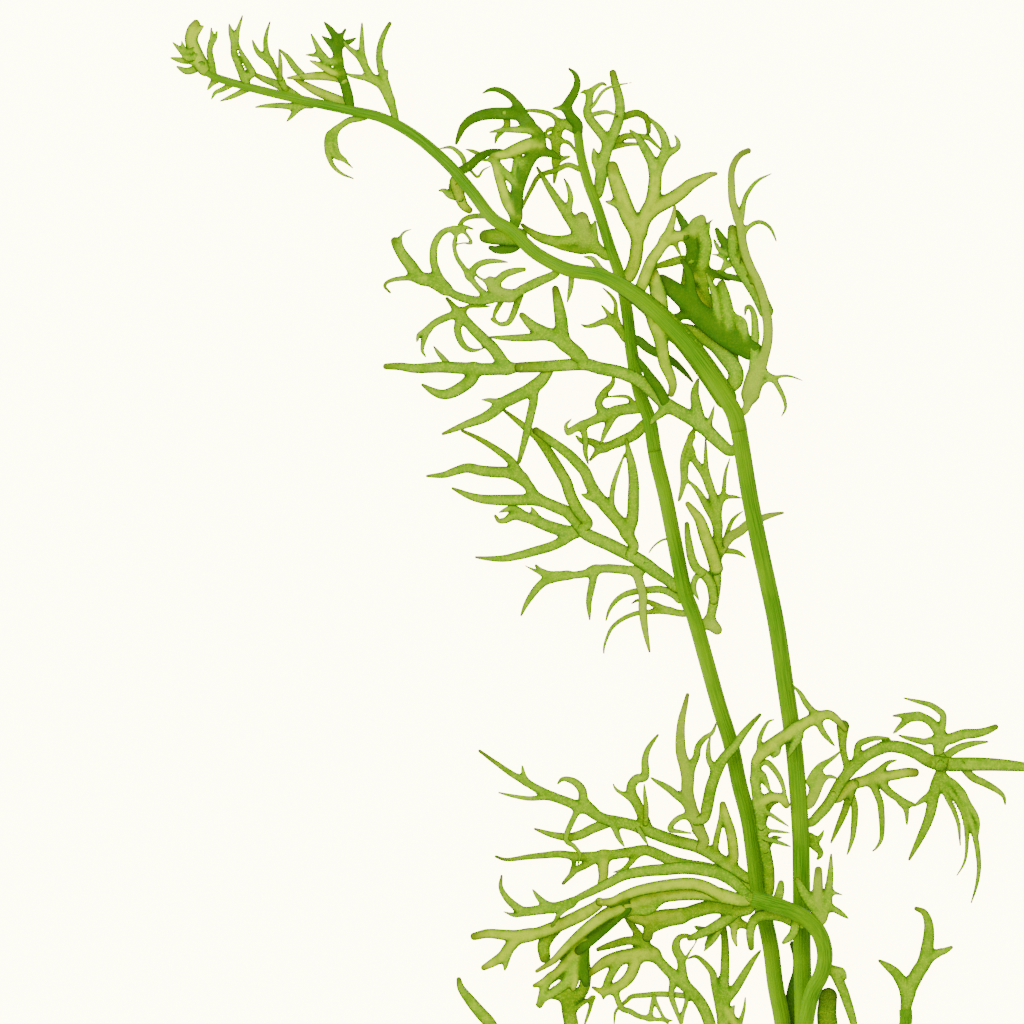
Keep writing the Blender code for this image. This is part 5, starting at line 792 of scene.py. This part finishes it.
def blend_fields(layer, low, shape):
    """On a grid, the distance to the layer's margin, and the lobes' heights, widths and tints."""
    margin = np.full(shape, 9.0)
    weight = np.full(shape, 1e-12)
    sums = np.zeros(shape + (6,))
    for stroke in layer:
        spots, half = stroke["curve"], stroke["half"]
        reach = half.max() + 2.0
        first = np.maximum(((spots[:, :2].min(axis=0) - reach - low) / CELL).astype(int), 0)
        last = np.minimum(((spots[:, :2].max(axis=0) + reach - low) / CELL).astype(int) + 1, shape)
        window = np.s_[first[0]:last[0], first[1]:last[1]]
        places = np.stack(np.meshgrid(np.arange(first[0], last[0]), np.arange(first[1], last[1]),
                                      indexing="ij"), axis=-1) * CELL + low
        flat = places.reshape(-1, 2)
        gaps = np.linalg.norm(flat[:, None] - spots[None, :, :2], axis=2) - half[None]
        at = gaps.argmin(axis=1)
        own = gaps[np.arange(len(flat)), at].reshape(places.shape[:2])
        at = at.reshape(own.shape)
        bridge = np.clip(FORK_BLEND - np.abs(margin[window] - own), 0, None) / FORK_BLEND
        margin[window] = np.minimum(margin[window], own) - bridge ** 2 * FORK_BLEND / 4
        share = np.exp(-own / 0.4)
        along = at / len(spots)
        facts = np.stack([spots[at, 2], half[at], along, *(np.full(own.shape, t) for t in stroke["tint"])],
                         axis=-1)
        weight[window] += share
        sums[window] += share[..., None] * facts
    return margin, sums / weight[..., None]


def leaf_shell(layer):
    """One closed leaf surface: its points, faces and the facts that tint it."""
    spots = np.vstack([s["curve"][:, :2] for s in layer])
    reach = max(s["half"].max() for s in layer) + 1.5
    low = spots.min(axis=0) - reach
    shape = tuple(((spots.max(axis=0) + reach - low) / CELL).astype(int) + 2)
    margin, facts = blend_fields(layer, low, shape)
    inside = margin < 0
    cells = inside[:-1, :-1] | inside[1:, :-1] | inside[:-1, 1:] | inside[1:, 1:]
    used = np.zeros(shape, dtype=bool)
    for right in (0, 1):
        for up in (0, 1):
            used[right:shape[0] - 1 + right, up:shape[1] - 1 + up] |= cells
    slope = np.stack(np.gradient(margin, CELL), axis=-1)
    slope /= np.maximum(np.linalg.norm(slope, axis=-1, keepdims=True), 0.3)
    grid = np.stack(np.meshgrid(*map(np.arange, shape), indexing="ij"), axis=-1) * CELL + low
    rim = used & (margin > -0.2 * CELL)
    places = np.where(rim[..., None], grid - slope * margin[..., None], grid)
    depth = np.clip(-margin / np.maximum(facts[..., 1], 0.3), 0, 1)
    depth[rim] = 0
    lens = np.sqrt(1 - (1 - depth) ** 2) * np.clip(facts[..., 1] / 0.9, 0.45, 1) * HALF_THICKNESS
    ripple = RIPPLE * np.sin(places[..., 0] * 1.1 + 0.7 * places[..., 1]) * np.sin(places[..., 1] * 0.9)
    middle = facts[..., 0] + RIM_RISE * (1 - depth) ** 2 + ripple * np.clip(facts[..., 1], 0, 1)
    middle = np.maximum(middle, lens + REST_GAP)
    number = np.full(shape, -1)
    number[used] = np.arange(used.sum())
    below = number.copy()
    free = used & ~rim
    below[free] = used.sum() + np.arange(free.sum())
    top = np.column_stack([places[used], (middle + lens)[used]])
    bottom = np.column_stack([places[free], (middle - lens)[free]])
    quads = np.argwhere(cells)
    around = [(quads[:, 0] + right, quads[:, 1] + up) for right, up in ((0, 0), (1, 0), (1, 1), (0, 1))]
    upper = np.column_stack([number[places_of] for places_of in around])
    lower = np.column_stack([below[places_of] for places_of in around])
    thick = (upper != lower).any(axis=1)
    upper, lower = upper[thick], lower[thick][:, ::-1]
    table = np.dstack([depth, facts[..., 2:]])
    return np.vstack([top, bottom]), np.vstack([upper, lower]), np.vstack([table[used], table[free]])


def tube_shell(stroke):
    """A round stem with shallow ribs along it."""
    spots, half = stroke["curve"][::4], stroke["half"][::4]
    back = (spots[0] - spots[1]) / np.linalg.norm(spots[0] - spots[1]) * STEM_OVERLAP
    spots = np.vstack([spots[0] + back, spots])
    half = np.concatenate([[half[0] * 0.97], half])
    ways = np.gradient(spots, axis=0)
    ways /= np.linalg.norm(ways, axis=1)[:, None]
    across = np.cross([0, 0, 1], ways)
    across /= np.linalg.norm(across, axis=1)[:, None]
    above = np.cross(ways, across)
    turns = np.arange(STEM_SIDES) * math.tau / STEM_SIDES
    ribs = 1 - RIB_DEPTH * (1 - np.cos(turns * STEM_RIBS)) / 2
    outward = (across[:, None] * np.cos(turns)[None, :, None]
               + above[:, None] * np.sin(turns)[None, :, None])
    rings = spots[:, None] + half[:, None, None] * ribs[None, :, None] * outward
    places = np.vstack([rings.reshape(-1, 3), spots[0], spots[-1]])
    count = len(spots)
    faces = []
    for ring in range(count - 1):
        for side in range(STEM_SIDES):
            beside = (side + 1) % STEM_SIDES
            a, b = ring * STEM_SIDES, (ring + 1) * STEM_SIDES
            faces.append([a + side, a + beside, b + beside, b + side])
    caps = []
    for side in range(STEM_SIDES):
        beside = (side + 1) % STEM_SIDES
        last = (count - 1) * STEM_SIDES
        caps.append([count * STEM_SIDES, beside, side])
        caps.append([count * STEM_SIDES + 1, last + side, last + beside])
    # How far round the stem each point is; the stem material turns this into painted shade on one side.
    round_about = np.tile(np.cos(turns), count)
    along = np.repeat(np.arange(count) / count, STEM_SIDES)
    table = np.zeros((len(places), 5))
    table[:len(along), 0] = round_about
    table[:len(along), 1] = along
    return places, faces + caps, table


def mesh_object(name, shells, materials):
    """One object of several closed shells, with the facts that tint it as attributes."""
    places, faces, tables, slots = [], [], [], []
    for spots, shell_faces, table, slot in shells:
        start = sum(len(p) for p in places)
        faces += [[int(v) + start for v in dict.fromkeys(face)] for face in shell_faces]
        slots += [slot] * len(shell_faces)
        places.append(spots)
        tables.append(table)
    keep = [len(face) > 2 for face in faces]
    slots = [slot for slot, kept in zip(slots, keep) if kept]
    faces = [face for face, kept in zip(faces, keep) if kept]
    data = bpy.data.meshes.new(name)
    data.from_pydata((np.vstack(places) + SHIFT) * MM, [], faces)
    # The pale fact marks lobes that are partly a paler underside and partly a painted wet glint.
    for column, label in enumerate(("depth", "along", "yellow", "dark", "pale")):
        layer = data.attributes.new(label, "FLOAT", "POINT")
        layer.data.foreach_set("value", np.vstack(tables)[:, column].astype(np.float32))
    for made in materials:
        data.materials.append(made)
    data.polygons.foreach_set("material_index", slots)
    data.shade_smooth()
    data.update()
    piece = bpy.data.objects.new(name, data)
    bpy.context.scene.collection.objects.link(piece)
    return piece


def add_node(tree, kind, **values):
    """A shader node with some of its values set."""
    made = tree.nodes.new(kind)
    for key, value in values.items():
        if key in made.inputs:
            made.inputs[key].default_value = value
        else:
            setattr(made, key, value)
    return made


def attribute(tree, label):
    """One of the facts that the mesh carries."""
    return add_node(tree, "ShaderNodeAttribute", attribute_name=label).outputs["Fac"]


def mix(tree, share, first, second):
    """One colour or number of two, by a share."""
    made = add_node(tree, "ShaderNodeMix", data_type="RGBA")
    for socket, value in (("Factor", share), ("A", first), ("B", second)):
        index = {"Factor": 0, "A": 6, "B": 7}[socket]
        if isinstance(value, (tuple, float, int)):
            made.inputs[index].default_value = value
        else:
            tree.links.new(value, made.inputs[index])
    return made.outputs[2]


def noise(tree, scale, detail=3.0):
    """A soft noise over the plant, by its place."""
    place = add_node(tree, "ShaderNodeTexCoord").outputs["Object"]
    made = add_node(tree, "ShaderNodeTexNoise", Scale=scale, Detail=detail)
    tree.links.new(place, made.inputs["Vector"])
    return made.outputs["Fac"]


def ramp(tree, share, *stops):
    """A number reshaped by stops of place and level."""
    made = add_node(tree, "ShaderNodeValToRGB")
    tree.links.new(share, made.inputs["Fac"])
    elements = made.color_ramp.elements
    for number, (place, level) in enumerate(stops):
        element = elements[number] if number < 2 else elements.new(place)
        element.position = place
        element.color = (level, level, level, 1)
    return made.outputs["Color"]


def times(tree, first, second):
    """The product of two numbers."""
    made = add_node(tree, "ShaderNodeMath", operation="MULTIPLY")
    for index, value in enumerate((first, second)):
        if isinstance(value, (float, int)):
            made.inputs[index].default_value = value
        else:
            tree.links.new(value, made.inputs[index])
    return made.outputs["Value"]


def new_surface(name, roughness):
    """A material with a Principled shader, its node tree and that shader."""
    made = bpy.data.materials.new(name)
    made.use_nodes = True
    shader = made.node_tree.nodes["Principled BSDF"]
    shader.inputs["Roughness"].default_value = roughness
    return made, made.node_tree, shader


def bump(tree, shader, height, strength, distance):
    """Low relief on a surface."""
    made = add_node(tree, "ShaderNodeBump", Strength=strength, Distance=distance)
    tree.links.new(height, made.inputs["Height"])
    tree.links.new(made.outputs["Normal"], shader.inputs["Normal"])


def let_light_in(shader, depth):
    """Light that spreads under a green skin, over a depth in metres."""
    shader.inputs["Subsurface Weight"].default_value = SUBSURFACE_SHARE
    shader.inputs["Subsurface Radius"].default_value = SUBSURFACE_SPREAD
    shader.inputs["Subsurface Scale"].default_value = depth


def leaf_material():
    """Thin wet leaf: a speckled yellow-green blade, darker towards the margin and the tips, with pale patches
    that are partly a paler underside and partly a painted wet glint.
    """
    made, tree, shader = new_surface("leaf_blade", 0.38)
    shader.inputs["Specular IOR Level"].default_value = GLOSS
    cloud = ramp(tree, noise(tree, 90, 4), (0.3, 0.4), (0.66, 1))
    heart = ramp(tree, attribute(tree, "depth"), (0.1, 0), (0.7, 1))
    colour = mix(tree, times(tree, cloud, heart), LEAF_GREEN, LEAF_LIME)
    colour = mix(tree, times(tree, heart, times(tree, attribute(tree, "yellow"), 0.8)), colour, LEAF_YELLOW)
    dots = ramp(tree, noise(tree, 2000, 2), (0.5, 0), (0.6, 1))
    colour = mix(tree, times(tree, dots, 0.4), colour, LEAF_YELLOW)
    streak = ramp(tree, noise(tree, 380, 3), (0.48, 0), (0.62, 1))
    colour = mix(tree, times(tree, streak, 0.35), colour, LEAF_GREEN)
    colour = mix(tree, times(tree, attribute(tree, "dark"), 0.8), colour, LEAF_DARK)
    # Painted wet glint, partly a paler underside: lobes marked p are mixed towards a pale colour.
    colour = mix(tree, times(tree, attribute(tree, "pale"), 0.45), colour, LEAF_PALE_AND_GLINT)
    rim = ramp(tree, attribute(tree, "depth"), (0.04, 1), (0.3, 0))
    colour = mix(tree, times(tree, rim, 0.75), colour, LEAF_RIM)
    tip = ramp(tree, attribute(tree, "along"), (0.86, 0), (1.0, 1))
    colour = mix(tree, times(tree, tip, 0.6), colour, LEAF_TIP)
    tree.links.new(colour, shader.inputs["Base Color"])
    let_light_in(shader, 0.0006)
    bump(tree, shader, noise(tree, 1100, 3), 0.25, 0.0002)
    return made


def fibres(tree):
    """Fine streaks along a stem, from how far round it and how far along it a place is."""
    place = add_node(tree, "ShaderNodeCombineXYZ")
    tree.links.new(times(tree, attribute(tree, "depth"), 5.0), place.inputs["X"])
    tree.links.new(times(tree, attribute(tree, "along"), 9.0), place.inputs["Y"])
    made = add_node(tree, "ShaderNodeTexNoise", Scale=1.6, Detail=4.0)
    tree.links.new(place.outputs["Vector"], made.inputs["Vector"])
    return made.outputs["Fac"]


def stem_material():
    """Satin green stalk with painted shade darkening one side, and long fine streaks."""
    made, tree, shader = new_surface("stem_skin", 0.4)
    shader.inputs["Specular IOR Level"].default_value = GLOSS
    # Painted shade: one side of each stalk is mixed towards LEAF_DARK, as if shade fell there.
    painted_shade = ramp(tree, attribute(tree, "depth"), (0.0, 1), (0.8, 0))
    cloud = ramp(tree, noise(tree, 60, 3), (0.4, 0), (0.65, 1))
    streak = ramp(tree, fibres(tree), (0.4, 0), (0.62, 1))
    colour = mix(tree, times(tree, cloud, 0.7), STEM_GREEN, STEM_LIME)
    colour = mix(tree, times(tree, painted_shade, 0.5), colour, LEAF_DARK)
    colour = mix(tree, times(tree, streak, 0.45), colour, STEM_LIME)
    tree.links.new(colour, shader.inputs["Base Color"])
    let_light_in(shader, 0.001)
    bump(tree, shader, noise(tree, 700, 3), 0.2, 0.0003)
    return made


def root_material(name, dark, bright):
    """Rough brown skin of the rootstock or the roots."""
    made, tree, shader = new_surface(name, 0.75)
    colour = mix(tree, ramp(tree, noise(tree, 260, 5), (0.35, 0), (0.65, 1)), dark, bright)
    tree.links.new(colour, shader.inputs["Base Color"])
    bump(tree, shader, noise(tree, 420, 5), 0.6, 0.0006)
    return made


def make_rootstock(surface):
    """The short rootstock, lumpy and ringed with old leaf bases."""
    low, high = (np.array(corner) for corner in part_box("rootstock"))
    middle, reach = (low + high) / 2, (high - low) / 2
    rings, turns = ROOTSTOCK_RINGS, ROOTSTOCK_TURNS
    places = []
    for ring in range(rings + 1):
        tall = math.pi * ring / rings
        for turn in range(turns):
            round_about = math.tau * turn / turns
            scale = 0.985 - 0.035 * abs(math.sin(9 * tall + 0.6 * math.sin(3 * round_about)))
            scale -= 0.03 * abs(math.sin(6 * round_about + 2 * tall))
            way = np.array([math.sin(tall) * math.cos(round_about), math.cos(tall),
                            math.sin(tall) * math.sin(round_about)])
            places.append(middle + way * reach * scale)
    faces = [[ring * turns + turn, ring * turns + (turn + 1) % turns,
              (ring + 1) * turns + (turn + 1) % turns, (ring + 1) * turns + turn]
             for ring in range(rings) for turn in range(turns)]
    data = bpy.data.meshes.new("rootstock_skin")
    data.from_pydata(places, [], faces)
    data.materials.append(surface)
    data.shade_smooth()
    piece = bpy.data.objects.new("rootstock_skin", data)
    bpy.context.scene.collection.objects.link(piece)
    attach(piece, "root")
    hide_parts("rootstock")


def dress_piece(name, materials):
    """The smooth piece that stands for one node, out of the node's strokes."""
    strokes = NODES[name]
    shells = []
    flat = [stroke for stroke in strokes if not stroke["round"]]
    for stroke in strokes:
        if stroke["round"]:
            shells.append((*tube_shell(stroke), 1))
    for layer in layers_of(flat):
        places, faces, table = leaf_shell(layer)
        shells.append((places, faces, table, 0))
    piece = mesh_object(name + "_surface", shells, materials)
    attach(piece, "root")
    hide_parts(name)


def add_light(name, place, size, power, colour):
    """A large soft lamp that looks at the middle of the plant."""
    lamp = bpy.data.lights.new(name, "AREA")
    lamp.shape = "DISK"
    lamp.size = size
    lamp.energy = power
    lamp.color = colour
    made = bpy.data.objects.new(name, lamp)
    made.location = place
    made.rotation_euler = (-made.location).to_track_quat("-Z", "Y").to_euler()
    bpy.context.scene.collection.objects.link(made)


def set_stage():
    """A pale floor, even studio light, and the camera straight above, as in the photograph."""
    floor = bpy.data.meshes.new("floor")
    floor.from_pydata([(-FLOOR_REACH, -FLOOR_REACH, 0), (FLOOR_REACH, -FLOOR_REACH, 0),
                       (FLOOR_REACH, FLOOR_REACH, 0), (-FLOOR_REACH, FLOOR_REACH, 0)], [], [(0, 1, 2, 3)])
    surface, _, shader = new_surface("floor_card", 0.9)
    shader.inputs["Base Color"].default_value = FLOOR_COLOUR
    shader.inputs["Specular IOR Level"].default_value = 0.1
    shader.inputs["Emission Color"].default_value = FLOOR_COLOUR
    shader.inputs["Emission Strength"].default_value = FLOOR_GLOW
    floor.materials.append(surface)
    ground = bpy.data.objects.new("floor", floor)
    # The floor glows for the camera alone, so it neither lights the leaves nor shows in their gloss.
    ground.visible_diffuse = False
    ground.visible_glossy = False
    bpy.context.scene.collection.objects.link(ground)
    world = bpy.data.worlds.new("studio")
    world.use_nodes = True
    world.node_tree.nodes["Background"].inputs["Color"].default_value = WORLD_COLOUR
    world.node_tree.nodes["Background"].inputs["Strength"].default_value = WORLD_LEVEL
    bpy.context.scene.world = world
    add_light("key", KEY_PLACE, KEY_SIZE, KEY_POWER, KEY_COLOUR)
    add_light("fill", FILL_PLACE, FILL_SIZE, FILL_POWER, FILL_COLOUR)
    watch = bpy.data.cameras.new("watch")
    watch.sensor_width = SENSOR
    watch.lens = SENSOR * WATCH_DISTANCE / PHOTO_SIDE
    eye = bpy.data.objects.new("watch", watch)
    middle = (np.array([*PHOTO_MIDDLE, 0]) + SHIFT) * MM
    eye.location = (middle[0], middle[1], WATCH_DISTANCE)
    bpy.context.scene.collection.objects.link(eye)
    bpy.context.scene.camera = eye


grow_plant()
SHIFT = board_shift()
LEAF = leaf_material()
STEM = stem_material()
ROOT = root_material("root_skin", ROOT_DARK, ROOT_BRIGHT)
for piece_name in NODES:
    if piece_name == "rootstock":
        make_rootstock(root_material("rootstock_bark", BARK_DARK, BARK_BRIGHT))
    else:
        dress_piece(piece_name, [ROOT, ROOT] if piece_name == "roots" else [LEAF, STEM])
set_stage()
